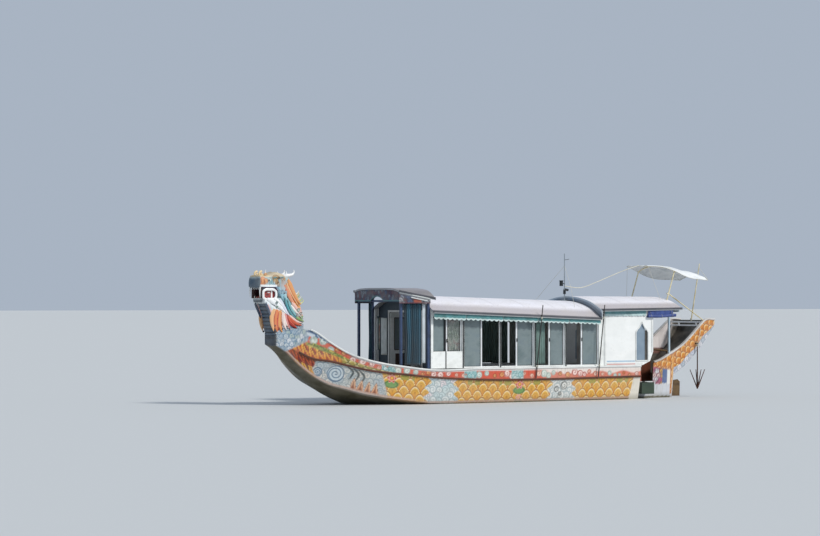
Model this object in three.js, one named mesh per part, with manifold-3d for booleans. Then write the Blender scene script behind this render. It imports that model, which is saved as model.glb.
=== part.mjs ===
// A river dragon boat: a wide, shallow tour boat with a dragon's head on its stem and a raised tail.
// Millimetres, bow along +X, port along +Y, up along +Z; the origin is on the centre line at the waterline.
import * as THREE from 'three'
import { mergeVertices } from 'three/addons/utils/BufferGeometryUtils.js'
import Module from 'manifold-3d'

const wasm = await Module()
wasm.setup()

// Driving sizes
const SEAT = 0.3 // running gap between pieces that rest on each other
const PLANK = 40 // hull side and bottom thickness
const WALL = 40 // cabin side thickness
const PANEL = 30 // bulkheads, doors and boards
const ROOF = 40 // roof shell thickness
const FLOOR = 30 // deck and floor boards

const HULL_END = -3880 // aft face of the wide hull
const STEM = 5900 // front face of the stem
const FOREDECK_Z = 450
const BOW_DECK_Z = 980
const CABIN_FLOOR_Z = 200
const STERN_FLOOR_Z = 260
const SHEER_Z = 800 // top of the hull side along the cabin
const CAP = 40 // gunwale cap height
const SILL_Z = SHEER_Z + CAP + 2 * SEAT

const WALL_Y = 1280 // outer face of the cabin side
const CABIN_FRONT = 2300
const CABIN_END = -2740
const BULKHEAD_X = 2200 // front face of the front bulkhead
const WALL_END = -4260 // aft edge of the white side panel
const ROOF_Y = 1450 // half width of both roofs

// Helpers: points to solids
function place(geometry, matrix) {
  geometry.applyMatrix4(matrix)
  return geometry
}

function solid(geometry) {
  const bare = geometry.clone()
  bare.deleteAttribute('normal')
  bare.deleteAttribute('uv')
  const merged = mergeVertices(bare, 1e-3)
  const index = Uint32Array.from(merged.index.array)
  const points = Float32Array.from(merged.attributes.position.array)
  if (volume(points, index) < 0) {
    for (let i = 0; i < index.length; i += 3) {
      const first = index[i]
      index[i] = index[i + 1]
      index[i + 1] = first
    }
  }
  return new wasm.Manifold(new wasm.Mesh({ numProp: 3, vertProperties: points, triVerts: index }))
}

function volume(p, index) {
  let total = 0
  for (let i = 0; i < index.length; i += 3) {
    const [a, b, c] = [index[i] * 3, index[i + 1] * 3, index[i + 2] * 3]
    total += p[a] * (p[b + 1] * p[c + 2] - p[b + 2] * p[c + 1])
      - p[a + 1] * (p[b] * p[c + 2] - p[b + 2] * p[c])
      + p[a + 2] * (p[b] * p[c + 1] - p[b + 1] * p[c])
  }
  return total
}

function meshOf(body) {
  const mesh = body.getMesh()
  const geometry = new THREE.BufferGeometry()
  geometry.setAttribute('position', new THREE.BufferAttribute(Float32Array.from(mesh.vertProperties), 3))
  geometry.setIndex(new THREE.BufferAttribute(Uint32Array.from(mesh.triVerts), 1))
  geometry.computeVertexNormals()
  return geometry
}

const union = (first, ...rest) => rest.reduce((sum, next) => sum.add(next), first)
const cut = (first, ...rest) => rest.reduce((left, next) => left.subtract(next), first)

function extrusion(points, depth, bevel = 0) {
  const shape = new THREE.Shape(points.map(([u, v]) => new THREE.Vector2(u, v)))
  return new THREE.ExtrudeGeometry(shape, {
    depth: depth - 2 * bevel,
    bevelEnabled: bevel > 0,
    bevelSize: bevel,
    bevelThickness: bevel,
    bevelOffset: -bevel,
    bevelSegments: 2,
  })
}

// Plate with its outline in X and Z, between two Y
function sidePlate(points, y0, y1, holes = [], bevel = 0) {
  const geometry = extrusion(points, y1 - y0, bevel)
  geometry.rotateX(Math.PI / 2)
  geometry.translate(0, y1 - bevel, 0)
  return cut(solid(geometry), ...holes.map((hole) => sidePlate(hole, y0 - 1, y1 + 1)))
}

// Plate with its outline in Y and Z, between two X
function crossPlate(points, x0, x1) {
  const turn = new THREE.Matrix4().set(0, 0, 1, x0, 1, 0, 0, 0, 0, 1, 0, 0, 0, 0, 0, 1)
  return solid(place(extrusion(points, x1 - x0), turn))
}

// Plate with its outline in X and Y, between two Z
function deckPlate(points, z0, z1) {
  const geometry = extrusion(points, z1 - z0)
  geometry.translate(0, 0, z0)
  return solid(geometry)
}

function box(x0, x1, y0, y1, z0, z1) {
  const geometry = new THREE.BoxGeometry(x1 - x0, y1 - y0, z1 - z0)
  geometry.translate((x0 + x1) / 2, (y0 + y1) / 2, (z0 + z1) / 2)
  return solid(geometry)
}

// Round bar from one point to another, with its two radii
function rod(from, to, r0, r1 = r0, sides = 12) {
  const start = new THREE.Vector3(...from)
  const end = new THREE.Vector3(...to)
  const along = end.clone().sub(start)
  const geometry = new THREE.CylinderGeometry(r1, r0, along.length(), sides)
  const turn = new THREE.Quaternion().setFromUnitVectors(new THREE.Vector3(0, 1, 0), along.normalize())
  const middle = start.add(end).multiplyScalar(0.5)
  return solid(place(geometry, new THREE.Matrix4().compose(middle, turn, new THREE.Vector3(1, 1, 1))))
}

// Skin over closed rings of equal length, each a list of [x, y, z], with flat ends
function loft(rings) {
  const count = rings[0].length
  const points = rings.flat(2)
  const index = []
  for (let r = 0; r + 1 < rings.length; r++) {
    for (let i = 0; i < count; i++) {
      const j = (i + 1) % count
      const [a, b, c, d] = [r * count + i, r * count + j, (r + 1) * count + j, (r + 1) * count + i]
      index.push(a, b, c, a, c, d)
    }
  }
  const ends = [[rings[0], 0, true], [rings.at(-1), (rings.length - 1) * count, false]]
  for (const [ring, start, turned] of ends) {
    const flat = ring.map(([, y, z]) => new THREE.Vector2(y, z))
    const way = Math.sign(THREE.ShapeUtils.area(flat))
    for (const face of THREE.ShapeUtils.triangulateShape(flat, [])) {
      const sameWay = Math.sign(THREE.ShapeUtils.area(face.map((k) => flat[k]))) === way
      index.push(...(sameWay === turned ? face.reverse() : face).map((k) => k + start))
    }
  }
  const geometry = new THREE.BufferGeometry()
  geometry.setAttribute('position', new THREE.Float32BufferAttribute(points, 3))
  geometry.setIndex(index)
  return solid(geometry)
}

const boat = new THREE.Group()

function add(name, body, colour, roughness = 0.6, metalness = 0) {
  const material = new THREE.MeshStandardMaterial({ color: colour, roughness, metalness })
  const mesh = new THREE.Mesh(meshOf(body), material)
  mesh.name = name
  boat.add(mesh)
}

const SIDES = [['port', 1], ['starboard', -1]]

// Wide hull: a section every so often from the transom to the stem
// columns: x, keel z, chine y, chine z, strake y, strake z, sheer y, sheer z
const HULL = [
  [HULL_END, -400, 1120, -160, 1270, 560, 1290, SHEER_Z],
  [-2500, -430, 1170, -150, 1310, 550, 1325, SHEER_Z],
  [-800, -440, 1200, -130, 1340, 540, 1350, SHEER_Z],
  [900, -420, 1190, -90, 1330, 560, 1340, SHEER_Z],
  [2400, -330, 1130, 50, 1250, 650, 1265, SHEER_Z],
  [2950, -230, 1060, 120, 1165, 710, 1180, 870],
  [3450, -90, 970, 195, 1060, 760, 1085, 945],
  [3900, 5, 860, 280, 950, 830, 980, 1050],
  [4300, 150, 745, 390, 820, 930, 850, 1200],
  [4700, 355, 600, 510, 660, 1030, 690, 1460],
  [5060, 620, 470, 720, 530, 1090, 545, 1720],
  [5370, 850, 370, 980, 410, 1240, 400, 1790],
  [5640, 1095, 290, 1260, 310, 1400, 300, 1725],
  [STEM, 1370, 245, 1420, 250, 1520, 250, 1660],
]

// One hull ring, grown by a little, with its sides carried up past the sheer where it is a cutter
function hullRing([x, keel, chineY, chineZ, strakeY, strakeZ, sheerY, sheerZ], grow, lift = 0) {
  const half = [[sheerY + grow, sheerZ], [strakeY + grow, strakeZ], [chineY + grow, chineZ - grow / 2]]
  if (lift > 0) half.unshift([sheerY + grow, sheerZ + lift])
  const port = half.map(([y, z]) => [x, y, z])
  const starboard = half.map(([y, z]) => [x, -y, z]).reverse()
  return [...port, [x, 0, keel - grow], ...starboard]
}

const CLEAR = 600 // how far a cutter runs past what it cuts
const REACH = 1400 // half width of a cutter that spans the boat
const ABOVE = 2600 // height of what a roof trims
const hullOutside = loft(HULL.map((row) => hullRing(row, SEAT, CLEAR)))
const hullInside = loft(HULL.map((row) => hullRing(row, -PLANK - SEAT, CLEAR)))
const hullCavity = loft(HULL.map((row) => hullRing(row, -PLANK, CLEAR)))

function hullAt(x, column) {
  for (let i = 0; i + 1 < HULL.length; i++) {
    const [a, b] = [HULL[i], HULL[i + 1]]
    if (x <= b[0]) return a[column] + ((b[column] - a[column]) * (x - a[0])) / (b[0] - a[0])
  }
  return HULL.at(-1)[column]
}

const TRANSOM_DOOR = 420 // half width of the way through the transom
const WAY_Z = STERN_FLOOR_Z + 40 // its sill
const transomCut = box(HULL_END - 1, HULL_END + PLANK, -REACH, REACH, -CLEAR, ABOVE)
const transomWay = box(HULL_END - 1, HULL_END + PLANK + 1, -TRANSOM_DOOR, TRANSOM_DOOR, WAY_Z, ABOVE)
const hull = cut(loft(HULL.map((row) => hullRing(row, 0))), hullCavity.subtract(transomCut), transomWay)
add('hull_shell', hull, '#c98a35')

// Decks, trimmed to the inside of the hull
const cabinFloor = box(
  HULL_END + PLANK + SEAT, BULKHEAD_X - PANEL, -REACH, REACH, CABIN_FLOOR_Z - FLOOR, CABIN_FLOOR_Z,
)
add('cabin_floor', cabinFloor.intersect(hullInside), '#7d6a55')

const FOREDECK_AFT = BULKHEAD_X - PANEL + SEAT
const BOW_STEP_X = 4150 // where the foredeck ends and the bow deck steps up
const BOW_DECK_END = 5300
const foredeck = union(
  box(FOREDECK_AFT, BOW_STEP_X, -REACH, REACH, FOREDECK_Z - FLOOR, FOREDECK_Z),
  box(FOREDECK_AFT, FOREDECK_AFT + PANEL, -REACH, REACH, CABIN_FLOOR_Z - FLOOR, FOREDECK_Z),
)
add('foredeck', foredeck.intersect(hullInside), '#8a8274')

const bowDeck = union(
  box(BOW_STEP_X + SEAT, BOW_DECK_END, -REACH, REACH, BOW_DECK_Z - FLOOR, BOW_DECK_Z),
  box(BOW_STEP_X + SEAT, BOW_STEP_X + PANEL, -REACH, REACH, FOREDECK_Z - FLOOR, BOW_DECK_Z),
)
add('bow_deck', bowDeck.intersect(hullInside), '#8a8274')

// Gunwale caps on the top edge of the hull side, up to the dragon's neck
const NECK_BACK = 5110
const CAP_IN = 55 // how far a cap reaches in from the outer face of the side
const CAP_OUT = 22
const capRing = (x, sign, [y0, y1], [z0, z1]) => (
  [[y0, z0], [y1, z0], [y1, z1], [y0, z1]].map(([y, z]) => [x, sign * y, z])
)
const capStations = HULL.filter(([x]) => x < NECK_BACK).map(([x]) => x).concat(NECK_BACK - 2)
for (const [side, sign] of SIDES) {
  const rings = capStations.map((x) => {
    const [y, z] = [hullAt(x, 6), hullAt(x, 7) + SEAT]
    return capRing(x, sign, [y - CAP_IN, y + CAP_OUT], [z, z + CAP])
  })
  add(`gunwale_${side}`, loft(rings), '#e8e4da')
}

// Rub strakes along the widest line of the side
// columns: distance out of the hull side, distance up from the strake's middle
const STRAKE = [[-30, -28], [26, -22], [26, 22], [-30, 28]]
const STRAKE_END = 5600
for (const [side, sign] of SIDES) {
  const rings = HULL.filter(([x]) => x < STRAKE_END).map(([x, , , , y, z]) => (
    STRAKE.map(([out, up]) => [x, sign * (y + out), z + up])
  ))
  add(`rub_strake_${side}`, loft(rings).subtract(hullOutside), '#4b2a1c')
}

// Narrow stern with its raised tail
// columns: x, bottom y, bottom z, side y, sheer z
const STERN = [
  [-6690, 700, 1790, 715, 1940],
  [-6380, 715, 1430, 740, 1930],
  [-6090, 735, 1150, 765, 1710],
  [-5830, 750, 900, 790, 1490],
  [-5600, 765, 745, 810, 1320],
  [-5300, 780, 560, 825, 1150],
  [-5250, 740, -260, 825, 1130],
  [-4800, 750, -330, 840, 920],
  [-4640, 755, -350, 845, 880],
  [HULL_END - 0.5, 780, -390, 860, 800],
]
function sternRing([x, bottomY, bottomZ, sideY, sheerZ], grow, lift = 0) {
  const half = [[sideY + grow, sheerZ], [bottomY + grow, bottomZ - grow]]
  if (lift > 0) half.unshift([sideY + grow, sheerZ + lift])
  const port = half.map(([y, z]) => [x, y, z])
  const starboard = half.map(([y, z]) => [x, -y, z]).reverse()
  return [...port, ...starboard]
}
const sternInside = loft(STERN.map((row) => sternRing(row, -PLANK - SEAT, CLEAR)))
const ENGINE_BAY = [-4620, -4010] // opening in each stern side beside the engine
const ENGINE_BAY_Z = 420
const stern = cut(
  loft(STERN.map((row) => sternRing(row, 0))),
  loft(STERN.map((row) => sternRing(row, -PLANK, CLEAR))),
  ...SIDES.map(([, sign]) => box(...ENGINE_BAY, sign * 950 - 250, sign * 950 + 250, ENGINE_BAY_Z, ABOVE)),
)

// Rudder stock and its tube through the raised counter
const STOCK_X = -5720
const STOCK_R = 28
const TILLER_Z = 1180
const STOCK_TUBE_R = 60
const stockHole = rod([STOCK_X, 0, 0], [STOCK_X, 0, ABOVE], STOCK_TUBE_R, STOCK_TUBE_R, 24)
add('stern_shell', stern.subtract(stockHole), '#cf9440')

const STERN_FLOOR_END = -5210
const sternFloor = box(
  STERN_FLOOR_END, HULL_END - SEAT, -REACH, REACH, STERN_FLOOR_Z - FLOOR, STERN_FLOOR_Z,
)
add('stern_floor', sternFloor.intersect(sternInside), '#6f6252')

// Dragon's neck, jaw and head: outlines in X and Z, seen from the port side
const NECK_HALF = 250
const HEAD_HALF = 270
const JAW_Z = 2360
const THROAT_Z = 2500
const neckBack = [[5110, 1850], [5110, 2030], [5150, 2180], [5230, 2370], [5340, THROAT_Z]]
const neckFoot = [[STEM, 1660], [5640, 1725], [5370, 1790], [5110, 1733]]
const neckOutline = [
  ...neckBack, [5800, THROAT_Z], [5800, JAW_Z], [6120, JAW_Z], [6030, 2120], [5985, 1900], [5940, 1660],
  ...neckFoot.map(([x, z]) => [x, z + SEAT]),
]
add('dragon_neck', sidePlate(neckOutline, -NECK_HALF, NECK_HALF), '#c9793f')

const JAW_HALF = 235
const FANGS = { upper: 205, lower: 190 } // distance of each pair from the centre line
const jawOutline = [
  [5802, JAW_Z + SEAT], [6150, JAW_Z + SEAT], [6230, 2400], [6250, 2450], [6235, THROAT_Z],
  [5802, THROAT_Z],
]
const fang = (x, y, z, length) => rod([x, y, z], [x + 12, y, z + length], 17, 3, 8)
const jaw = union(
  sidePlate(jawOutline, -JAW_HALF, JAW_HALF, [], 12),
  ...SIDES.map(([, sign]) => fang(6190, sign * FANGS.lower, 2480, 130)),
)
add('dragon_jaw', jaw, '#e6e4df')

const headOutline = [
  [6310, 2725], [6335, 2850], [6330, 2980], [6270, 3030], [6150, 3015], [6030, 3040], [5900, 3090],
  [5760, 3080], [5640, 3030], [5500, 2930], [5440, 2800], [5400, 2660], [5340, THROAT_Z + SEAT],
  [5800, THROAT_Z + SEAT],
  [5790, 2620], [5850, 2710],
]
const head = union(
  sidePlate(headOutline, -HEAD_HALF, HEAD_HALF, [], 18),
  ...SIDES.flatMap(([, sign]) => [
    fang(6270, sign * FANGS.upper, 2740, -190),
    rod([5830, sign * 230, 2900], [5830, sign * 305, 2905], 78, 52, 16), // eye
    rod([6210, sign * 110, 2990], [6250, sign * 110, 3080], 70, 40, 12), // nostril
  ]),
  rod([6075, 0, 3000], [6060, 0, 3125], 30, 4, 8), // spike on the bridge of the nose
)
add('dragon_head', head, '#d9b27a')

const TONGUE_HALF = 110
const tongueOutline = [
  [5806, THROAT_Z + SEAT], [6180, THROAT_Z + SEAT], [6290, 2540], [6300, 2580], [6150, 2560], [5806, 2570],
]
add('tongue', sidePlate(tongueOutline, -TONGUE_HALF, TONGUE_HALF), '#b3332a')

// columns: x, y, z, radius
const HORN = [[5650, 175, 3028, 46], [5560, 205, 3050, 38], [5470, 222, 3065, 28], [5400, 226, 3150, 18]]
const brow = sidePlate(headOutline.map(([x, z]) => [x - SEAT, z + SEAT]), -HEAD_HALF, HEAD_HALF)
for (const [side, sign] of SIDES) {
  const bits = HORN.slice(1).map(([x, y, z, radius], i) => {
    const [x0, y0, z0, radius0] = HORN[i]
    return rod([x0, sign * y0, z0], [x, sign * y, z], radius0, radius, 10)
  })
  add(`horn_${side}`, union(...bits).subtract(brow), '#eef0ee')
}

// Flame plates on both cheeks, and the crest of hair down the back
const flameOutline = [
  [5990, 2330], [6010, 2100], [5960, 1960], [5990, 1700], [5860, 1760], [5760, 1715], [5640, 1770],
  [5520, 1745], [5400, 1830], [5290, 1830], [5170, 1900], [5190, 2080], [5280, 2260], [5420, 2440],
  [5640, 2480], [5850, 2440],
]
const FLAME = 28 // thickness of a flame plate
for (const [side, sign] of SIDES) {
  const faces = [NECK_HALF + SEAT, NECK_HALF + FLAME].map((y) => sign * y).sort((a, b) => a - b)
  add(`beard_${side}`, sidePlate(flameOutline, ...faces), '#d5693a')
}
const CREST_HALF = 45
const crestLine = [
  [5110, 1860], [5110, 2030], [5150, 2180], [5230, 2370], [5340, 2502], [5400, 2662], [5440, 2802],
  [5500, 2932],
]
const crestSpikes = crestLine.slice(0, -1).flatMap(([x, z], i) => {
  const [nx, nz] = crestLine[i + 1]
  return [[x - 14, z + 10], [(x + nx) / 2 - 115, (z + nz) / 2 + 60]]
})
const crestCuts = [neckOutline, headOutline].flatMap((outline) => [0, SEAT].map((gap) => (
  sidePlate(outline.map(([x, z]) => [x - gap, z + gap]), -400, 400)
)))
const crestRoot = crestLine.map(([x, z]) => [x + 60, z]).reverse()
const crest = sidePlate([...crestRoot, ...crestSpikes, [5484, 2965]], -CREST_HALF, CREST_HALF)
add('mane_crest', cut(crest, ...crestCuts), '#d9793f')

// Arched roofs: an arch is a list of shares of the half width and of the rise
const ARCH = [[0, 1], [0.24, 0.945], [0.48, 0.79], [0.69, 0.57], [0.88, 0.24], [1, 0]]
const FLAT_ARCH = [[0, 1], [0.5, 0.94], [0.8, 0.66], [1, 0]]
function archLine([x, half, eave, crown], lift, arch) {
  const right = arch.map(([across, share]) => [x, across * half, eave + (crown - eave) * share + lift])
  return [...right.slice(1).map(([a, y, z]) => [a, -y, z]).reverse(), ...right]
}
// All that lies under an arch that is raised or lowered by a little
const vault = (rows, lift, arch = ARCH) => loft(rows.map((row) => (
  [...archLine(row, lift, arch), [row[0], row[1], -CLEAR], [row[0], -row[1], -CLEAR]]
)))
const roofShell = (rows, grow, arch = ARCH) => (
  vault(rows, grow, arch).subtract(vault(rows, -ROOF - grow, arch))
)
// columns: x, half width, eave z, crown z
const MAIN_ROOF = [[-2570, ROOF_Y, 1992, 2430], [2320, ROOF_Y, 2176, 2570]]
const AFT_ROOF = [[-5180, 1300, 2238, 2540], [-2571, ROOF_Y, 2205, 2548]]
const PORCH_ROOF = [[2250, 1410, 2480, 2735], [3030, 1030, 2660, 2735]]
const underMain = vault(MAIN_ROOF, -ROOF - SEAT)
const underAft = vault(AFT_ROOF, -ROOF - SEAT)
const underPorch = vault(PORCH_ROOF, -ROOF - SEAT, FLAT_ARCH)
add('main_roof', roofShell(MAIN_ROOF, 0), '#dcd8e2', 0.4)
add('aft_roof', roofShell(AFT_ROOF, 0), '#dcd8e2', 0.4)
add('porch_roof', roofShell(PORCH_ROOF, 0, FLAT_ARCH), '#dddfe8', 0.4)

// Porch: four posts and a ring beam under its own roof, and a boarded fascia outside them
const POST = 54
const PORCH_FRONT = [2930, 950]
const PORCH_REAR = [2362, 1248]
const PORCH_BEAM_Z = 2400
const PORCH_TOP_Z = 2750
const porchPosts = SIDES.flatMap(([, sign]) => (
  [[...PORCH_FRONT, FOREDECK_Z + SEAT], [...PORCH_REAR, SILL_Z]].map(([x, y, foot]) => (
    box(x - POST / 2, x + POST / 2, sign * y - POST / 2, sign * y + POST / 2, foot, PORCH_TOP_Z)
  ))
))
const canted = (grow) => [
  [PORCH_FRONT[0] + grow, -PORCH_FRONT[1] - grow], [PORCH_FRONT[0] + grow, PORCH_FRONT[1] + grow],
  [PORCH_REAR[0] - grow, PORCH_REAR[1] + grow], [PORCH_REAR[0] - grow, -PORCH_REAR[1] - grow],
]
const BEAM_HALF = 30 // half width of the ring beam
const BEAM = 50 // its height
const porchRing = deckPlate(canted(BEAM_HALF), PORCH_BEAM_Z, PORCH_BEAM_Z + BEAM).subtract(
  deckPlate(canted(-BEAM_HALF), PORCH_BEAM_Z - 1, PORCH_BEAM_Z + BEAM + 1),
)
add('porch_frame', union(...porchPosts, porchRing).intersect(underPorch), '#2e3f5a')

const FASCIA_FOOT = [2420, 2370] // lower edge of the front board and of the canted boards
const FASCIA_OUT = [[3010, -1010], [3010, 1010], [2360, 1350], [2360, -1350]]
const FASCIA_IN = [[2980, -990], [2980, 990], [2340, 1325], [2340, -1325]]
const fasciaOutline = [
  ...FASCIA_OUT.slice(0, 3), FASCIA_IN[2], FASCIA_IN[1], FASCIA_IN[0], FASCIA_IN[3], FASCIA_OUT[3],
]
const fasciaRing = deckPlate(fasciaOutline, FASCIA_FOOT[1], PORCH_TOP_Z).intersect(underPorch)
const FASCIA_ARCH_R = 480
const archCentre = FASCIA_FOOT[0] - 370 // so that the arch is cut 110 up into the front board
const fasciaArch = rod([2900, 0, archCentre], [3100, 0, archCentre], FASCIA_ARCH_R, FASCIA_ARCH_R, 40)
const frontFoot = box(2975, 3100, -985, 985, 2300, FASCIA_FOOT[0])
add('porch_fascia', cut(fasciaRing, fasciaArch, frontFoot), '#6b5f7d')

// Cabin sides: one frame each, cut for its bays
const BAY_POSTS = [1400, 330, -680, -1590] // centre of each post between two bays
const BAY_POST = 50
const HEAD_DROP = 0.0287 // fall of the roof line for each unit of length
const headZ = (x) => 1920 + HEAD_DROP * (x + 2570) // top of the window openings
const bayEdges = [
  CABIN_FRONT - 60, ...BAY_POSTS.flatMap((x) => [x + BAY_POST / 2, x - BAY_POST / 2]), CABIN_END + 150,
]
const bays = []
for (let i = 0; i < bayEdges.length; i += 2) bays.push([bayEdges[i + 1], bayEdges[i]])
const PANEL_TOP = 1240 // the foremost bay is boarded up to here
const bayHoles = bays.map(([x0, x1], i) => {
  const low = i === 0 ? PANEL_TOP : SILL_Z + 25
  return [[x0, low], [x1, low], [x1, headZ(x1)], [x0, headZ(x0)]]
})
const wallFaces = (sign) => [WALL_Y - WALL, WALL_Y].map((y) => sign * y).sort((a, b) => a - b)
const AFT_CORNER = [-2569, 2010] // the wall behind the main roof ends here in X and Z
for (const [side, sign] of SIDES) {
  const outline = [[CABIN_END, SILL_Z], [CABIN_FRONT, SILL_Z], [CABIN_FRONT, ABOVE], [CABIN_END, ABOVE]]
  const whole = sidePlate(outline, ...wallFaces(sign), bayHoles)
  const ahead = whole.intersect(underMain)
  const rear = whole.intersect(box(CABIN_END, AFT_CORNER[0], -REACH, REACH, 0, AFT_CORNER[1]))
  add(`cabin_side_${side}`, union(ahead, rear), '#e9ebe8')
}

// Sliding sashes: a sill track and a head track carry one framed sash in each bay
const SASH = 22
const SASH_Y = WALL_Y - WALL - SEAT
const STILE = 45 // width of a sash's side members
const SASH_RAIL = [30, 55] // height of its bottom and top members
const FORWARD_BAY = 1 // its sash stands at the fore half of the bay, the others at the aft half
const sashRuns = bays.map(([x0, x1], i) => {
  const half = (x1 - x0) / 2 + 30
  return i === FORWARD_BAY ? [x1 - half, x1 + 10] : [x0 - 10, x0 + half]
})
const trackZ = (x) => headZ(x) + 40
for (const [side, sign] of SIDES) {
  const faces = [SASH_Y - SASH, SASH_Y].map((y) => sign * y).sort((a, b) => a - b)
  const [aft, fore] = [CABIN_END + 120, CABIN_FRONT - 30]
  const band = (top, height) => sidePlate([
    [aft, top(aft) - height], [fore, top(fore) - height], [fore, top(fore)], [aft, top(aft)],
  ], ...faces)
  const sashes = sashRuns.map(([x0, x1], i) => {
    const low = i === 0 ? PANEL_TOP - 30 : SILL_Z + 10
    const [h0, h1] = [x0 + STILE, x1 - STILE]
    const foot = low + SASH_RAIL[0]
    const hole = [[h0, foot], [h1, foot], [h1, trackZ(x1) - SASH_RAIL[1]], [h0, trackZ(x0) - SASH_RAIL[1]]]
    return sidePlate([[x0, low], [x1, low], [x1, trackZ(x1)], [x0, trackZ(x0)]], ...faces, [hole])
  })
  const tracks = union(band(trackZ, 40), band(() => SILL_Z + 35, 25))
  add(`sashes_${side}`, union(tracks, ...sashes), '#eef0ee', 0.4, 0.5)
}

// Bulkheads: boards that stand on the deck and reach up to the roof
const BOARD_Y = 1214 // half width of a bulkhead above the gunwales
const bulkheadOutline = (bottom, foot) => [
  [-foot, bottom], [foot, bottom], [foot, 800], [BOARD_Y, 860], [BOARD_Y, ABOVE + 100],
  [-BOARD_Y, ABOVE + 100], [-BOARD_Y, 860], [-foot, 800],
]
const DOOR_HALF = 720
const DOOR_TOP = 2150
const DOOR_Z = FOREDECK_Z + 20
const LEAF = 25 // thickness of a door leaf
const LEAF_WIDTH = 685
const LEAF_WINDOW = [[100, 600], [1250, 2020]] // distances from the hinge line, then heights
const HINGE = [BULKHEAD_X - PANEL / 2, DOOR_HALF - 15]
const KNUCKLE = 10 // radius of the hinge
const HINGE_GAP = 8 // from the hinge line to the leaf's edge
const hingeLugs = SIDES.flatMap(([, sign]) => [DOOR_Z - 12, DOOR_TOP - 12].map((z) => {
  const [y0, y1] = [sign * (HINGE[1] - KNUCKLE), sign * (DOOR_HALF + 5)].sort((a, b) => a - b)
  return box(HINGE[0] - KNUCKLE, HINGE[0] + KNUCKLE, y0, y1, z, z + 11.7)
}))
const frontBoard = cut(
  crossPlate(bulkheadOutline(FOREDECK_Z + SEAT, 1130), BULKHEAD_X - PANEL, BULKHEAD_X).intersect(underMain),
  box(BULKHEAD_X - 100, BULKHEAD_X + 100, -DOOR_HALF, DOOR_HALF, FOREDECK_Z + 7, DOOR_TOP),
)
add('front_bulkhead', union(frontBoard, ...hingeLugs), '#dfe5ea')
for (const [side, sign] of SIDES) {
  const [y0, y1] = [sign * (HINGE[1] - 15), sign * (HINGE[1] + LEAF - 15)].sort((a, b) => a - b)
  const z = [DOOR_Z, DOOR_TOP - 13]
  const [near, far] = LEAF_WINDOW[0]
  const leaf = cut(
    box(HINGE[0] - HINGE_GAP - LEAF_WIDTH, HINGE[0] - HINGE_GAP, y0, y1, ...z),
    box(HINGE[0] - far, HINGE[0] - near, y0 - 1, y1 + 1, ...LEAF_WINDOW[1]),
  )
  const knuckle = rod([HINGE[0], sign * HINGE[1], z[0]], [HINGE[0], sign * HINGE[1], z[1]], KNUCKLE)
  add(`cabin_door_${side}`, union(leaf, knuckle), '#e8efef')
}
const AFT_BOARD_X = [-2601, -2571]
const AFT_DOOR_HALF = 380
const AFT_DOOR_TOP = 2050
const aftBoard = crossPlate(bulkheadOutline(CABIN_FLOOR_Z + SEAT, 1150), ...AFT_BOARD_X).intersect(underAft)
const aftWay = box(-2700, -2500, -AFT_DOOR_HALF, AFT_DOOR_HALF, CABIN_FLOOR_Z + 40, AFT_DOOR_TOP)
add('aft_bulkhead', aftBoard.subtract(aftWay), '#9fb2bb')

// White boarded side beside the helm, with its pointed window
const OGEE_X = -3915
const OGEE_HALF = 190
// columns: share of the half width, z
const OGEE = [[1, 950], [1, 1660], [0.72, 1730], [0.45, 1770], [0.18, 1850], [0, 1910]]
const ogee = [...OGEE, ...OGEE.slice(0, -1).map(([across, z]) => [-across, z]).reverse()]
  .map(([across, z]) => [OGEE_X + across * OGEE_HALF, z])
const helmOutline = [
  [WALL_END, 1150], [-4170, 940], [HULL_END - 60, SILL_Z], [CABIN_END - SEAT, SILL_Z],
  [CABIN_END - SEAT, ABOVE], [WALL_END, ABOVE],
]
for (const [side, sign] of SIDES) {
  const wall = sidePlate(helmOutline, ...wallFaces(sign), [ogee])
  add(`helm_side_${side}`, wall.intersect(underAft), '#f2f4f4')
}

// Cloth valance under each eave of the main roof
const VALANCE_Y = [1400, 1414]
const VALANCE_ENDS = [-2560, 2300]
const VALANCE_Z = 1850 // its foot where the main roof starts
for (const [side, sign] of SIDES) {
  const faces = VALANCE_Y.map((y) => sign * y).sort((a, b) => a - b)
  const low = (x) => VALANCE_Z + HEAD_DROP * (x + 2570)
  const [aft, fore] = VALANCE_ENDS
  const outline = [[aft, low(aft)], [fore, low(fore)], [fore, ABOVE], [aft, ABOVE]]
  add(`valance_${side}`, sidePlate(outline, ...faces).intersect(underMain), '#4f9da6', 0.9)
}

// Caps on the tail boards, and the frame that holds the aft end of the roof
const sternAt = (x, column) => {
  const i = STERN.findIndex((row) => row[0] >= x)
  const [a, b] = [STERN[Math.max(i - 1, 0)], STERN[Math.max(i, 1)]]
  return a[column] + ((b[column] - a[column]) * (x - a[0])) / (b[0] - a[0])
}
const TAIL_CAP_IN = 70
const TAIL_CAP_END = -4630
const capCutters = []
for (const [side, sign] of SIDES) {
  const stations = STERN.filter(([x]) => x < TAIL_CAP_END)
  const capLoft = (drop, rise) => loft(stations.map(([x, , , y, z]) => (
    capRing(x, sign, [y - TAIL_CAP_IN, y + CAP_OUT], [z - drop, z + CAP + rise])
  )))
  add(`tail_cap_${side}`, capLoft(-SEAT, 0), '#e8e4da')
  capCutters.push(capLoft(CLEAR, SEAT))
}
const AFT_POST_X = -5140
const AFT_POST_Y = sternAt(AFT_POST_X, 3) - 24
const AFT_POST_HALF = 22
const AFT_BEAM_Z = [2150, 2230] // its ends reach lower than its middle
const AFT_BEAM_Y = [1200, 1000]
const capSlope = (x) => sternAt(x, 4) + CAP + SEAT
const aftEnds = [AFT_POST_X - AFT_POST_HALF, AFT_POST_X + AFT_POST_HALF]
const postOutline = [
  [aftEnds[0], capSlope(aftEnds[0])], [aftEnds[1], capSlope(aftEnds[1])],
  [aftEnds[1], ABOVE], [aftEnds[0], ABOVE],
]
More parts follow.
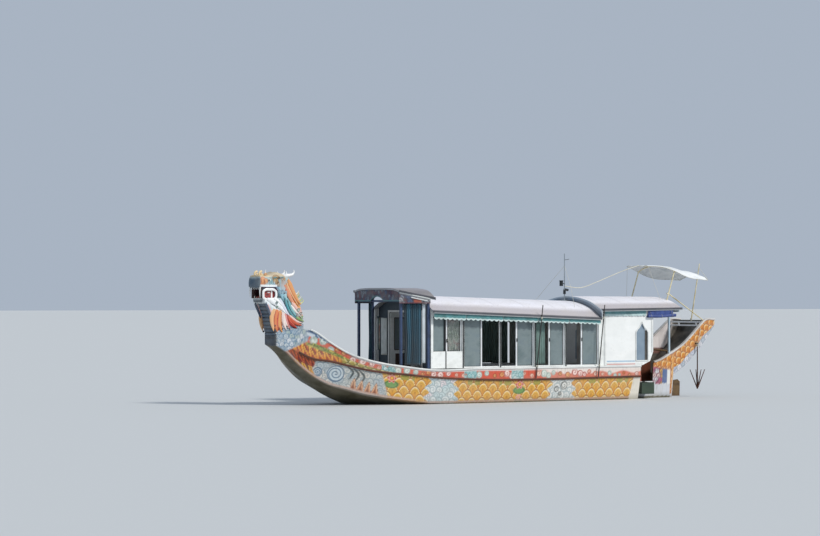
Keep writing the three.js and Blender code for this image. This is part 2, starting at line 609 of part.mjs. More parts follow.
const aftPosts = SIDES.map(([, sign]) => (
  sidePlate(postOutline, sign * AFT_POST_Y - AFT_POST_HALF, sign * AFT_POST_Y + AFT_POST_HALF)
))
const aftBeam = box(...aftEnds, -AFT_BEAM_Y[0], AFT_BEAM_Y[0], AFT_BEAM_Z[0], ABOVE)
const beamCut = box(AFT_POST_X - 30, AFT_POST_X + 30, -AFT_BEAM_Y[1], AFT_BEAM_Y[1], 0, AFT_BEAM_Z[1])
add('aft_frame', union(...aftPosts, aftBeam.subtract(beamCut)).intersect(underAft), '#9fb0bd')

// Rolled tarpaulin along the port wall, under the aft eave
const ROLL_R = 45
const ROLL = [[-4930, 2075], [-4060, 2050]] // X and Z of its two ends
const rollRing = (x, z) => Array.from({ length: 12 }, (_, i) => {
  const turn = (i * Math.PI) / 6
  return [x, WALL_Y + SEAT + ROLL_R - ROLL_R * Math.cos(turn), z + ROLL_R * Math.sin(turn)]
})
const roll = loft(ROLL.map(([x, z]) => rollRing(x, z)))
add('tarp_roll', roll.intersect(underAft), '#2b55c8', 0.8)

// Helm seat locker with its hinged lid, and the engine ahead of it
const LOCKER = [-4830, -4380]
const LOCKER_Y = 450
const LOCKER_Z = 1240
const LOCKER_WALL = 25
const LID = 28 // thickness of the lid
const LID_LIP = 15 // how far it overhangs
const lockerBox = (inset, low, high) => box(
  LOCKER[0] + inset, LOCKER[1] - inset, -LOCKER_Y + inset, LOCKER_Y - inset, low, high,
)
const lockerWalls = lockerBox(0, STERN_FLOOR_Z + SEAT, LOCKER_Z).subtract(lockerBox(LOCKER_WALL, 0, ABOVE))
const lid = box(
  LOCKER[0] - LID_LIP, LOCKER[1], -LOCKER_Y - LID_LIP, LOCKER_Y + LID_LIP, LOCKER_Z + SEAT, LOCKER_Z + LID,
)
add('helm_locker', lockerWalls, '#6a2f25')
add('locker_lid', lid, '#7c382b')
const CRANK_Z = 470
const EXHAUST = [[-4100, 200, 560], [-4100, 420, 620], [-4100, 400, 600], [-4100, 440, 1000]]
const engine = union(
  box(-4340, -3990, -230, 230, STERN_FLOOR_Z + SEAT, 640), // crankcase
  box(-4310, -4020, -150, 150, 600, 800), // cylinder and water hopper
  rod([-3990, 0, CRANK_Z], [-3950, 0, CRANK_Z], 170, 170, 20), // flywheel
  rod(EXHAUST[0], EXHAUST[1], 45, 40, 10),
  rod(EXHAUST[2], EXHAUST[3], 40, 40, 10),
)
add('engine_block', engine, '#4c4f4d', 0.5, 0.6)

// Passenger benches along both sides of the cabin
const BENCH_X = [-2300, 1250]
const BENCH_Y = [720, 1120]
const BENCH_Z = [620, 650] // underside and top of the seat
const BENCH_LEGS = [-2250, -1100, 50, 1150]
const LEG = 40
for (const [side, sign] of SIDES) {
  const [y0, y1] = BENCH_Y.map((y) => sign * y).sort((a, b) => a - b)
  const legs = BENCH_LEGS.map((x) => (
    box(x, x + LEG, y0 + 20, y1 - 20, CABIN_FLOOR_Z + SEAT, BENCH_Z[0] + 10)
  ))
  add(`bench_${side}`, union(box(...BENCH_X, y0, y1, ...BENCH_Z), ...legs), '#8d6a44')
}

// Stern rail across the top of the tail
const RAIL_X = -6380
const RAIL_HALF = 18
const RAIL_TOP = 1912
const RAIL_BARS = [[1870, RAIL_TOP], [1785, 1825]] // low and high edge of each bar
const RAIL_POST_Y = 350
const rail = union(
  ...RAIL_BARS.map((z) => box(RAIL_X - RAIL_HALF, RAIL_X + RAIL_HALF, -REACH, REACH, ...z)),
  ...SIDES.map(([, sign]) => (
    box(RAIL_X - 15, RAIL_X + 15, sign * RAIL_POST_Y - 20, sign * RAIL_POST_Y + 20, 1820, 1875)
  )),
)
add('stern_rail', rail.intersect(sternInside), '#f0f2f2')

// Fuel tank bolted to the port side below the engine opening
const sternOutside = loft(STERN.map((row) => sternRing(row, SEAT, CLEAR)))
add('fuel_tank', box(-4400, -4010, 800, 1150, 120, 400).subtract(sternOutside), '#2f3b33')

// Skeg and heel bar, stern tube and propeller
const HEEL_Z = -400
const KEEL_Z = -450
const SKEG_HALF = 16
const skegOutline = [
  [-4600, KEEL_Z], [-5790, KEEL_Z], [-5790, HEEL_Z], [-5235, HEEL_Z], [-5235, 0], [-4600, 0],
]
add('skeg', sidePlate(skegOutline, -SKEG_HALF, SKEG_HALF).subtract(sternOutside), '#3d3a30')
const SHAFT_Z = -215
const TUBE_END = -5370
const tube = rod([-5200, 0, SHAFT_Z], [TUBE_END, 0, SHAFT_Z], 32, 32, 16)
add('stern_tube', tube.subtract(sternOutside), '#57564f', 0.4, 0.8)
const PROP_X = -5420
const BLADE = [14, 95, 130] // thickness, width, length
const BLADE_MIDDLE = 82 // from the shaft to the middle of a blade
const PITCH = 0.6 // angle of a blade, in radians
const blades = [0, 1, 2].map((i) => {
  const geometry = new THREE.BoxGeometry(...BLADE)
  geometry.translate(0, 0, BLADE_MIDDLE)
  geometry.applyMatrix4(new THREE.Matrix4().makeRotationZ(PITCH))
  geometry.applyMatrix4(new THREE.Matrix4().makeRotationX((i * 2 * Math.PI) / 3))
  geometry.translate(PROP_X, 0, SHAFT_Z)
  return solid(geometry)
})
const hub = rod([TUBE_END - SEAT, 0, SHAFT_Z], [-5480, 0, SHAFT_Z], 30, 20, 16)
add('propeller', union(hub, ...blades), '#a0803f', 0.35, 0.9)

// Rudder: stock, blade and tiller
const BLADE_HALF = 12
const TILLER_END = -4990
// columns: distance aft of the stock, z
const RUDDER_BLADE = [[0, -385], [0, 380], [330, 420], [400, 360], [380, -360]]
const rudder = union(
  rod([STOCK_X, 0, HEEL_Z + SEAT], [STOCK_X, 0, TILLER_Z], STOCK_R, STOCK_R, 24),
  sidePlate(RUDDER_BLADE.map(([aft, z]) => [STOCK_X - aft, z]), -BLADE_HALF, BLADE_HALF),
  rod([STOCK_X - 60, 0, TILLER_Z - 30], [TILLER_END, 0, TILLER_Z + 30], 22, 16, 10),
)
add('rudder', rudder, '#8a5a3a')

// Awning over the helm: a sheet on a bent hoop and a ridge, and the poles that carry them
// columns: x, half width, ridge z, edge z
const SHEET = [
  [-6600, 560, 3095, 2975], [-6270, 690, 3190, 2985], [-5950, 750, 3235, 3000], [-5650, 780, 3300, 3070],
  [-5370, 770, 3335, 3180], [-4980, 620, 3330, 3300], [-4760, 440, 3325, 3320],
]
const SHEET_THICK = 10
const SAG = [[0, 1], [0.35, 0.93], [0.7, 0.6], [1, 0]]
const sheetLine = ([x, half, ridge, edge], lift) => {
  const right = SAG.map(([across, share]) => [x, across * half, edge + (ridge - edge) * share + lift])
  return [...right.slice(1).map(([a, y, z]) => [a, -y, z]).reverse(), ...right]
}
const sheetSolid = (grow) => loft(SHEET.map((row) => (
  [...sheetLine(row, SHEET_THICK + grow), ...sheetLine(row, -grow).reverse()]
)))
add('awning_sheet', sheetSolid(0), '#f4f6f8', 0.9)

const HOOP_R = 14
const HOOP_X = -5370
const hoopRow = SHEET.find(([x]) => x === HOOP_X)
const hoop = sheetLine(hoopRow, -HOOP_R)
const POLE_FOOT = [-5120, 740, 2432]
const poleTop = [HOOP_X, 0.96 * hoopRow[1], hoopRow[3]]
const AFT_POLE_Y = 150
const STAY_Y = 742
const ridgeRows = SHEET.filter(([x]) => x <= -4980 && x >= -6600).map(([x, , z]) => [x, 0, z - HOOP_R - 2])
const awningFrame = union(
  ...SIDES.map(([, sign]) => {
    const [foot, top] = [POLE_FOOT, poleTop].map(([x, y, z]) => [x, sign * y, z])
    return rod(foot, top, 17, 15, 10)
  }),
  ...hoop.slice(1).map((point, i) => rod(hoop[i], point, HOOP_R)),
  ...ridgeRows.slice(1).map((point, i) => rod(ridgeRows[i], point, HOOP_R)),
  rod([RAIL_X - 2, AFT_POLE_Y, RAIL_TOP + 3], [-6660, AFT_POLE_Y, 3390], 16, 12, 10),
  rod([-6590, -40, 3070], [-6590, AFT_POLE_Y + 30, 3020], 12, 12, 8),
  rod([-5150, STAY_Y, 2630], [-6300, STAY_Y, 1935], 15, 13, 10),
)
const grownAft = roofShell(AFT_ROOF, SEAT)
add('awning_frame', cut(awningFrame, grownAft, sheetSolid(SEAT), ...capCutters), '#d9d7c4')

// Mast on the roof, anchor on the tail and two poles along the port side
const MAST_X = -2480
const MAST_TOP = 3610
const mast = union(
  rod([MAST_X, 0, 2420], [MAST_X, 0, 2450], 60, 60, 12),
  rod([MAST_X, 0, 2445], [MAST_X, 0, MAST_TOP], 16, 10, 10),
)
add('mast', mast.subtract(vault(MAIN_ROOF, SEAT)), '#8d9296')

const ANCHOR_X = -6050
const ANCHOR_Y = 812
const ANCHOR_Z = [200, 1370] // crown and top of the shank
const CLAWS = [[240, 0], [-240, 0], [0, 150], [0, -60]] // reach of each claw in X and Y
const CLAW_Z = 690
const anchor = union(
  rod([ANCHOR_X, ANCHOR_Y, ANCHOR_Z[1]], [ANCHOR_X, ANCHOR_Y, ANCHOR_Z[0]], 14, 16, 10),
  box(ANCHOR_X - 20, ANCHOR_X + 20, 740, ANCHOR_Y + 16, ANCHOR_Z[1] - 40, ANCHOR_Z[1]),
  ...CLAWS.map(([dx, dy]) => (
    rod([ANCHOR_X, ANCHOR_Y, ANCHOR_Z[0] + 5], [ANCHOR_X + dx, ANCHOR_Y + dy, CLAW_Z], 16, 9, 8)
  )),
)
add('anchor', anchor.subtract(sternOutside), '#22242a', 0.6, 0.6)

// columns: name, foot x, top y
const SIDE_POLES = [['side_pole_fore', -640, 1481.7], ['side_pole_aft', -2500, 1468.7]]
const POLE_Z = [576, 2330]
for (const [name, x, topY] of SIDE_POLES) {
  add(name, rod([x, 1376, POLE_Z[0]], [x - 130, topY, POLE_Z[1]], 14, 12, 8), '#4a3b2c')
}

export default boat
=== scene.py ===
"""A painted river boat with a dragon's head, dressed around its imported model.

Lengths are metres: +X is the bow, +Y port, +Z up, and z = 0 is the waterline, where the floor is.
New pieces are surfaces worked out with numpy. A painting is a colour for each point, worked out
from its place in metres and kept in the attribute "paint", and the nodes add what is finer.
"""
import math

import bpy
import numpy as np
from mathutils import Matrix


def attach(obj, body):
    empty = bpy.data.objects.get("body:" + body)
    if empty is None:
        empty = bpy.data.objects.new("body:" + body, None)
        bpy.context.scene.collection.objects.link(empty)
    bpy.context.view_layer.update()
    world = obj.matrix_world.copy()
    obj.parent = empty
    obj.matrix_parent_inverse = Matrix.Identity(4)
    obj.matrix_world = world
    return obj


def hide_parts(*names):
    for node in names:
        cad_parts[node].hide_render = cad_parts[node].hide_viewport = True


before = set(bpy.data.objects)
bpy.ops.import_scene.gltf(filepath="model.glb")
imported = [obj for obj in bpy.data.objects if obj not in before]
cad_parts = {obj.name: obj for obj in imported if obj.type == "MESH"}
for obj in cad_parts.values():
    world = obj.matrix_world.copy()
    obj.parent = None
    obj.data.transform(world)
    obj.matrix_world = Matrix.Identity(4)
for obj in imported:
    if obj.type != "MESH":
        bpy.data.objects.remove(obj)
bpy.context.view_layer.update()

rng = np.random.default_rng(7)
SIDES = (("port", 1), ("starboard", -1))

# Camera: as far off as the boat's size in the photograph says, a little above the water
RANGE, EYE_HEIGHT = 60.0, 2.4
BEARING = math.radians(34)  # forward of the port beam
TURN_LEFT, TILT_UP = math.radians(1.675), math.radians(0.794)
camera_data = bpy.data.cameras.new("camera")
camera_data.lens = 108
camera_data.sensor_width = 36
camera_data.clip_end = 2000
camera = bpy.data.objects.new("camera", camera_data)
bpy.context.scene.collection.objects.link(camera)
camera.location = (RANGE * math.sin(BEARING), RANGE * math.cos(BEARING), EYE_HEIGHT)
camera.rotation_euler = (math.radians(90) + TILT_UP, 0, math.radians(180) - BEARING + TURN_LEFT)
bpy.context.scene.camera = camera


def linear(colour):
    """An sRGB hex colour as three linear values: c/12.92 when dark, else ((c + 0.055)/1.055)^2.4."""
    c = np.array([int(colour[i : i + 2], 16) for i in (1, 3, 5)]) / 255
    return np.where(c <= 0.04045, c / 12.92, ((c + 0.055) / 1.055) ** 2.4)


def node(tree, kind, inputs=(), stops=(), **settings):
    """Adds a node: settings are its properties, stops a ramp's colours, inputs values or links."""
    made = tree.nodes.new("ShaderNode" + kind)
    for name, value in settings.items():
        setattr(made, name, value)
    for number, (place, colour) in enumerate(stops):
        ramp = made.color_ramp.elements
        stop = ramp[number] if number < 2 else ramp.new(place)
        stop.position = place
        stop.color = (*linear(colour), 1)
    for name, value in dict(inputs).items():
        if isinstance(value, bpy.types.NodeSocket):
            tree.links.new(value, made.inputs[name])
        else:
            made.inputs[name].default_value = value
    return made


def rgba(colour):
    """The same colour with full cover, as a colour socket takes it."""
    return (*linear(colour), 1)


def toned(colour):
    """Linear values of a hex colour; linear values are passed on."""
    return linear(colour) if isinstance(colour, str) else colour


# Materials


def surface(name, roughness, metallic=0.0, **own):
    """A new material and its principled shader; own gives more of the shader's constant sockets."""
    material = bpy.data.materials.new(name)
    material.use_nodes = True
    tree = material.node_tree
    tree.nodes.clear()
    shader = node(tree, "BsdfPrincipled", {"Roughness": roughness, "Metallic": metallic, **own})
    node(tree, "OutputMaterial", {"Surface": shader.outputs[0]})
    return material, tree, shader


def pattern(tree, size_mm, detail=3.0):
    """A noise whose blots are size_mm wide along X, Y and Z, read in object coordinates."""
    place = node(tree, "TexCoord").outputs["Object"]
    scale = tuple(1000 / s for s in size_mm)
    mapped = node(tree, "Mapping", {"Vector": place, "Scale": scale}).outputs[0]
    return node(tree, "TexNoise", {"Vector": mapped, "Scale": 1.0, "Detail": detail}).outputs[0]


def spread(tree, value, low, high, top, bottom=0.0):
    """A value drawn out so that low to high becomes bottom to top, and cut off there."""
    inputs = {"Value": value, "From Min": low, "From Max": high, "To Min": bottom, "To Max": top}
    return node(tree, "MapRange", inputs).outputs[0]


def mixed(tree, share, below, above, **settings):
    """The colour below covered with the colour above by a share."""
    inputs = {0: share, 6: below, 7: above}
    return node(tree, "Mix", inputs, data_type="RGBA", **settings).outputs[2]


def drifting(tree, colours, blots):
    """Colours from first to last over the middle of a noise's range."""
    stops = [(0.3 + 0.4 * i / max(len(colours) - 1, 1), c) for i, c in enumerate(colours)]
    return node(tree, "ValToRGB", {"Fac": pattern(tree, blots, 4.0)}, stops=stops).outputs[0]


def finish(tree, shader, colour, rough=None):
    """Gives the shader its colour and, where there is one, its roughness."""
    tree.links.new(colour, shader.inputs["Base Color"])
    if rough is not None:
        tree.links.new(rough, shader.inputs["Roughness"])


def relief(tree, shader, height, depth_mm, strength=1.0):
    """Bump of depth_mm between a height of 0 and 1."""
    bump = node(tree, "Bump", {"Height": height, "Distance": depth_mm / 1000, "Strength": strength})
    tree.links.new(bump.outputs[0], shader.inputs["Normal"])


def weathered(
    name, colours, roughness, metallic=0.0, grain=(60, 60, 60), depth_mm=0.6, dirt="#4A4034",
    dirt_share=0.35, **own
):
    """Colour drifts between the first and last of colours in blots, with dirt in the hollows of
    a finer noise, a roughness that follows the grain, and the grain as bump."""
    material, tree, shader = surface(name, roughness, metallic, **own)
    base = drifting(tree, colours, (420, 420, 260))
    fine = pattern(tree, grain, 6.0)
    spot = spread(tree, fine, 0.58, 0.78, dirt_share)
    rough = spread(tree, fine, 0.0, 1.0, roughness + 0.14, roughness - 0.1)
    finish(tree, shader, mixed(tree, spot, base, rgba(dirt)), rough)
    relief(tree, shader, fine, depth_mm)
    return material


def glazed(name, colours, roughness, clearness, dirt_share):
    """Window glass, filmed or plain, that lets a share of the light through."""
    passing = {"Transmission Weight": clearness, "IOR": 1.5}
    return weathered(name, colours, roughness, depth_mm=0.05, dirt_share=dirt_share, **passing)


def boards(name, light, dark, width_mm, roughness):
    """Wooden boards laid along X: each board width_mm wide has its own tone, grain drawn out
    twelve times along it, and a dark seam where the share of its width is near 0 or 1."""
    material, tree, shader = surface(name, roughness)

    def sum_of(kind, *values):
        return node(tree, "Math", dict(enumerate(values)), operation=kind).outputs[0]

    place = node(tree, "TexCoord").outputs["Object"]
    across = node(tree, "SeparateXYZ", {"Vector": place}).outputs["Y"]
    number = sum_of("MULTIPLY", across, 1000 / width_mm)
    whole, share = sum_of("FLOOR", number), sum_of("FRACT", number)
    own_tone = node(tree, "TexWhiteNoise", {"W": whole}, noise_dimensions="1D").outputs["Value"]
    grain = pattern(tree, (270, 22, 22), 7.0)
    tone = sum_of("MULTIPLY_ADD", own_tone, 0.45, grain)
    colour = node(tree, "ValToRGB", {"Fac": tone}, stops=[(0.3, dark), (0.95, light)]).outputs[0]
    edge = sum_of("ABSOLUTE", sum_of("SUBTRACT", share, 0.5))
    gap = spread(tree, edge, 0.46, 0.49, 1.0)
    finish(tree, shader, mixed(tree, gap, colour, rgba("#1E1712")))
    relief(tree, shader, sum_of("SUBTRACT", grain, gap), 2.0)
    return material


def painted(name, roughness=0.48, grime=0.5, coat=0.0):
    """Enamel on carved and planked wood: the colour is the attribute paint, faded in blots, with
    hairline cracks along the grain, chips, and green-brown grime that thickens near the water."""
    material, tree, shader = surface(name, roughness, **{"Coat Weight": coat, "Coat Roughness": 0.25})
    colour = node(tree, "Attribute", attribute_name="paint").outputs["Color"]
    height = node(tree, "SeparateXYZ", {"Vector": node(tree, "TexCoord").outputs["Object"]}).outputs[2]
    for value, low, high, most, over in (
        (pattern(tree, (380, 380, 240), 5.0), 0.35, 0.75, 0.22, "#C9BFAE"),
        (pattern(tree, (30, 30, 420), 5.0), 0.52, 0.8, 0.3, "#5B4A33"),
        (height, 0.16, 0.0, grime, "#4C4A34"),
    ):
        colour = mixed(tree, spread(tree, value, low, high, most), colour, rgba(over))
    fine = pattern(tree, (55, 55, 14), 6.0)
    finish(tree, shader, colour, spread(tree, fine, 0.0, 1.0, roughness + 0.2, roughness - 0.12))
    relief(tree, shader, fine, 1.2)
    return material


def woven(name, colours, thread_mm=4.0, roughness=0.8, sheen=0.3, tinted=False):
    """Cloth: threads cross each other along the piece's own UV map, which is in metres, drawn
    4 mm wide because real ones of 0.5 mm don't show, over folds that hold dust."""
    material, tree, shader = surface(name, roughness, **{"Sheen Weight": sheen, "Sheen Roughness": 0.5})
    colour = drifting(tree, colours, (260, 260, 340))
    if tinted:
        own = node(tree, "Attribute", attribute_name="paint").outputs["Color"]
        colour = mixed(tree, 1.0, own, colour, blend_type="MULTIPLY")
    finish(tree, shader, colour)
    flat = {"Vector": node(tree, "TexCoord").outputs["UV"], "Scale": 1000 / thread_mm / 20}
    warp, weft = (node(tree, "TexWave", flat, bands_direction=way).outputs["Fac"] for way in "XY")
    weave = node(tree, "Math", {0: warp, 1: weft}, operation="ADD").outputs[0]
    relief(tree, shader, weave, 0.5, 0.6)
    return material


# Shapes


def piece(name, points, faces, material, body="root", stands_for=(), paint=None, flat=None, sharp=38):
    """A mesh object: faces are arrays with one row of corner numbers per face, paint a colour and
    flat a place on the uncut cloth or sheet for each point."""
    points = np.asarray(points, float).reshape(-1, 3)
    faces = [np.asarray(rows, np.int32) for rows in faces]
    corners = np.concatenate([rows.ravel() for rows in faces])
    counts = np.concatenate([np.full(len(rows), rows.shape[1]) for rows in faces])
    mesh = bpy.data.meshes.new(name)
    mesh.vertices.add(len(points))
    mesh.vertices.foreach_set("co", points.ravel())
    mesh.loops.add(len(corners))
    mesh.loops.foreach_set("vertex_index", corners)
    mesh.polygons.add(len(counts))
    mesh.polygons.foreach_set("loop_start", np.cumsum(counts) - counts)
    mesh.polygons.foreach_set("use_smooth", np.ones(len(counts), bool))
    mesh.update(calc_edges=True)
    mesh.set_sharp_from_angle(angle=math.radians(sharp))
    if paint is not None:
        layer = mesh.color_attributes.new("paint", "FLOAT_COLOR", "POINT")
        layer.data.foreach_set("color", np.column_stack([paint, np.ones(len(points))]).ravel())
    if flat is not None:
        layer = mesh.uv_layers.new(name="flat")
        layer.data.foreach_set("uv", np.asarray(flat)[corners].ravel())
    made = bpy.data.objects.new(name, mesh)
    bpy.context.scene.collection.objects.link(made)
    made.data.materials.append(material)
    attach(made, body)
    if stands_for:
        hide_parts(*stands_for)
    return made


def quads(rows, columns, around=False, flip=False, start=0):
    """Corner numbers of a grid kept row by row; around joins the last column to the first."""
    r, c = np.meshgrid(np.arange(rows - 1), np.arange(columns - (not around)), indexing="ij")
    d = (c + 1) % columns
    corners = [r * columns + c, (r + 1) * columns + c, (r + 1) * columns + d, r * columns + d]
    found = np.stack(corners, -1).reshape(-1, 4) + start
    return found[:, ::-1] if flip else found


def along(stations, values, at):
    """A smooth line through values at stations: on each stretch the cubic whose end slopes are
    the mean slopes at its stations."""
    stations, values, at = (np.asarray(a, float) for a in (stations, values, at))
    slopes = np.gradient(values, stations, axis=0)
    i = np.clip(np.searchsorted(stations, at) - 1, 0, len(stations) - 2)
    step = stations[i + 1] - stations[i]
    t = (at - stations[i]) / step
    if values.ndim > 1:
        step, t = step[..., None], t[..., None]
    rise = (2 * t**3 - 3 * t**2 + 1) * values[i] + (3 * t**2 - 2 * t**3) * values[i + 1]
    bend = (t**3 - 2 * t**2 + t) * slopes[i] + (t**3 - t**2) * slopes[i + 1]
    return rise + step * bend


def run_of(line):
    """The length of a line of points up to each of them."""
    return np.concatenate([[0], np.cumsum(np.linalg.norm(np.diff(line, axis=0), axis=1))])


def through(points, count):
    """A smooth curve through points, cut at count places spaced by the share of its chord."""
    points = np.asarray(points, float)
    length = run_of(points)
    return along(length, points, np.linspace(0, length[-1], count))


def capped(rings, corners):
    """Faces of a skin of rings, each of so many corners, with a cap at both ends."""
    ends = np.arange(corners)
    last = (rings - 1) * corners
    return [quads(rings, corners, around=True, flip=True), ends[None, ::-1], (last + ends)[None]]


def carried(path, profile, up=(0, 0, 1), size=1.0):
    """A closed profile (width, height) carried along a path and closed with a cap at each end.
    Its width lies square to the path and to up, its height square to both, each times size."""
    path, profile = np.asarray(path, float), np.asarray(profile, float)
    ahead = np.gradient(path, axis=0)
    ahead /= np.linalg.norm(ahead, axis=1, keepdims=True)
    side = np.cross(np.broadcast_to(up, path.shape), ahead)
    side /= np.linalg.norm(side, axis=1, keepdims=True)
    above = np.cross(ahead, side)
    size = np.asarray(size, float)
    size = np.broadcast_to(size.reshape(-1, 1) if size.ndim == 1 else size, (len(path), 2))
    section = profile[None] * size[:, None]
    points = path[:, None] + section[..., :1] * side[:, None] + section[..., 1:] * above[:, None]
    return points.reshape(-1, 3), capped(len(path), len(profile))


def bar(path, radius, sides=10, **more):
    """A round bar along a path, given the path's up direction."""
    return carried(path, ring(1.0, sides), size=radius, **more)


def together(parts):
    """One mesh from parts of (points, faces) or (points, faces, paint), kept side by side; paint
    is one hex colour or a colour for each point."""
    start, points, faces, paint = 0, [], [], []
    for part in parts:
        shape = np.asarray(part[0], float).reshape(-1, 3)
        points.append(shape)
        faces += [np.asarray(rows) + start for rows in part[1]]
        if len(part) > 2:
            paint.append(np.broadcast_to(toned(part[2]), shape.shape))
        start += len(shape)
    return np.concatenate(points), faces, np.concatenate(paint) if paint else None


def merged(name, parts, material, body="root", stands_for=()):
    """A piece from several parts."""
    points, faces, paint = together(parts)
    return piece(name, points, faces, material, body, stands_for, paint)


def rounded(width, height, radius):
    """A rectangle about the middle whose corners are quarter circles, anticlockwise."""
    turn = np.linspace(0, np.pi / 2, 4)
    found = []
    for quarter, (sx, sy) in enumerate(((1, 1), (-1, 1), (-1, -1), (1, -1))):
        angle = turn + quarter * np.pi / 2
        centre = np.array([sx * (width / 2 - radius), sy * (height / 2 - radius)])
        found.append(centre + radius * np.column_stack([np.cos(angle), np.sin(angle)]))
    return np.concatenate(found)


def ring(radius, count=12):
    """A circle, anticlockwise."""
    angle = np.arange(count) * 2 * np.pi / count
    return radius * np.column_stack([np.cos(angle), np.sin(angle)])


def block(low, high, radius=0.006):
    """A box with rounded upright edges."""
    low, high = np.asarray(low, float), np.asarray(high, float)
    middle, size = (low + high) / 2, high - low
    path = [[middle[0], middle[1], low[2]], [middle[0], middle[1], high[2]]]
    return carried(path, rounded(size[1], size[0], min(radius, size[0] / 3, size[1] / 3)), up=(1, 0, 0))


def tube(path, radius, sides=10):
    """A round bar along a path; its first axis avoids the path's own direction."""
    path = np.asarray(path, float)
    run = np.abs(path[-1] - path[0])
    up = np.eye(3)[int(np.argmin(run))]
    return bar(path, radius, sides, up=up)


def ball(centre, radius, rows=10, columns=16):
    """A sphere, or an ellipsoid of three radii: latitude by longitude, closed at both poles."""
    high = np.linspace(-np.pi / 2, np.pi / 2, rows + 1)[1:-1]
    turn = np.arange(columns) * 2 * np.pi / columns
    h, t = np.meshgrid(high, turn, indexing="ij")
    unit = np.stack([np.cos(h) * np.cos(t), np.cos(h) * np.sin(t), np.sin(h)], -1).reshape(-1, 3)
    unit = np.concatenate([unit, [[0, 0, -1], [0, 0, 1]]])
    body = quads(rows - 1, columns, around=True, flip=True)
    c = np.arange(columns)
    d = (c + 1) % columns
    last = (rows - 2) * columns
    foot = np.column_stack([np.full(columns, len(unit) - 2), d, c])
    head = np.column_stack([np.full(columns, len(unit) - 1), last + c, last + d])
    return np.asarray(centre) + unit * radius, [body, foot, head]


def mouldings(pairs, y, profile):
    """Straight bars between pairs of (x, z) corners, in the plane at y."""
    return [carried([(a[0], y, a[1]), (b[0], y, b[1])], profile, up=(0, 1, 0)) for a, b in pairs]


def round_about(corners):
    """Pairs of neighbouring corners of a closed outline."""
    return zip(corners, np.roll(corners, -1, axis=0))


def lofted(x, y, z):
    """A closed skin from coordinates with a row for each ring."""
    grid = np.stack(np.broadcast_arrays(x, y, z), -1)
    return grid.reshape(-1, 3), capped(*grid.shape[:2])


def squared(angle, power):
    """Cosine and sine of an angle, drawn towards the corners of a square."""
    return [np.sign(v) * np.abs(v) ** power for v in (np.cos(angle), np.sin(angle))]


def mirrored(part):
    """The same part on the other side of the boat: y changes sign and each face turns over."""
    points = np.asarray(part[0], float).reshape(-1, 3) * [1, -1, 1]
    return (points, [np.asarray(rows)[:, ::-1] for rows in part[1]], *part[2:])


def both(parts):
    """Parts and their mirror images."""
    return list(parts) + [mirrored(p) for p in parts]


def trough(outer, inner):
    """A shell with an open top from two grids of sections, outer and inner, each section running
    from the port rim under the keel to the other: two skins, two rims and a board at each end."""
    n, m, k = len(outer), outer.shape[1], inner.shape[1]
    start = n * m
    rows = np.arange(n - 1)
    faces = [quads(n, m), quads(n, k, flip=True, start=start)]
    a, b = rows * m, start + rows * k
    faces.append(np.column_stack([a, b, b + k, a + m]))
    a, b = rows * m + m - 1, start + rows * k + k - 1
    faces.append(np.column_stack([a, b, b + k, a + m])[:, ::-1])
    for row, turn in ((0, 1), (n - 1, -1)):
        skin = row * m + np.arange(m)
        lining = start + row * k + np.arange(k)
        faces += [skin[None, ::turn], lining[None, ::-turn]]
        faces.append(np.array([[skin[0], lining[0], lining[-1], skin[-1]]])[:, ::-turn])
    return np.concatenate([outer.reshape(-1, 3), inner.reshape(-1, 3)]), faces


# Painting: s runs along the boat and t up it, in metres, one value for each point of a skin

EDGE = 0.014  # an edge fades over this width, about one step of the skins


def inside(distance, edge=EDGE):
    """Cover from 1 where distance is below 0 to 0 where it is above, over a narrow edge."""
    return np.clip(0.5 - distance / edge, 0, 1)


def between(value, low, high, edge=EDGE):
    """Cover of 1 where the value lies between low and high."""
    return inside(low - value, edge) * inside(value - high, edge)


def plain(colour, points):
    """One colour for every point, to be painted over."""
    return np.tile(linear(colour), (len(points), 1))


def lay(paint, colour, cover):
    """Covers the paint with a colour, by the share that cover gives at each point."""
    paint += (toned(colour) - paint) * cover[:, None]


def scales(
    paint, s, t, where, width=0.28, rise=0.175, fills=("#CF8426", "#EDBE52"), rim="#F3E2B8", shade="#8C4A1B"
):
    """Rows of round-topped scales, each row lapping over the one above it and half a scale on
    from it: the top of a scale is 1.5 rows times the root of 1 - (2 across)^2 above its foot."""
    rows = range(int(np.ceil(t.max() / rise)), int(np.floor(t.min() / rise)) - 3, -1)
    for row in rows:
        across = ((s / width + 0.5 * (row % 2) + 0.5) % 1) - 0.5
        top = rise * (row + 1.5 * np.sqrt(np.clip(1 - (2 * across) ** 2, 0, 1)))
        below = top - t
        cover = where * inside(-below)
        share = np.clip(below / (1.6 * rise), 0, 1)[:, None]
        tone = linear(fills[1]) * (1 - share) + linear(fills[0]) * share
        lay(paint, shade, where * inside(-below - 0.03) * 0.75)
        lay(paint, tone, cover)
        lay(paint, rim, where * inside(np.abs(below - 0.014) - 0.012))
        lay(paint, shade, where * inside(np.abs(below - 0.075) - 0.008) * 0.55)
        dart = np.abs(across) * width + (below - 0.11) * 0.35
        lay(paint, shade, cover * inside(np.abs(dart - 0.02) - 0.008) * (below > 0.1) * 0.5)


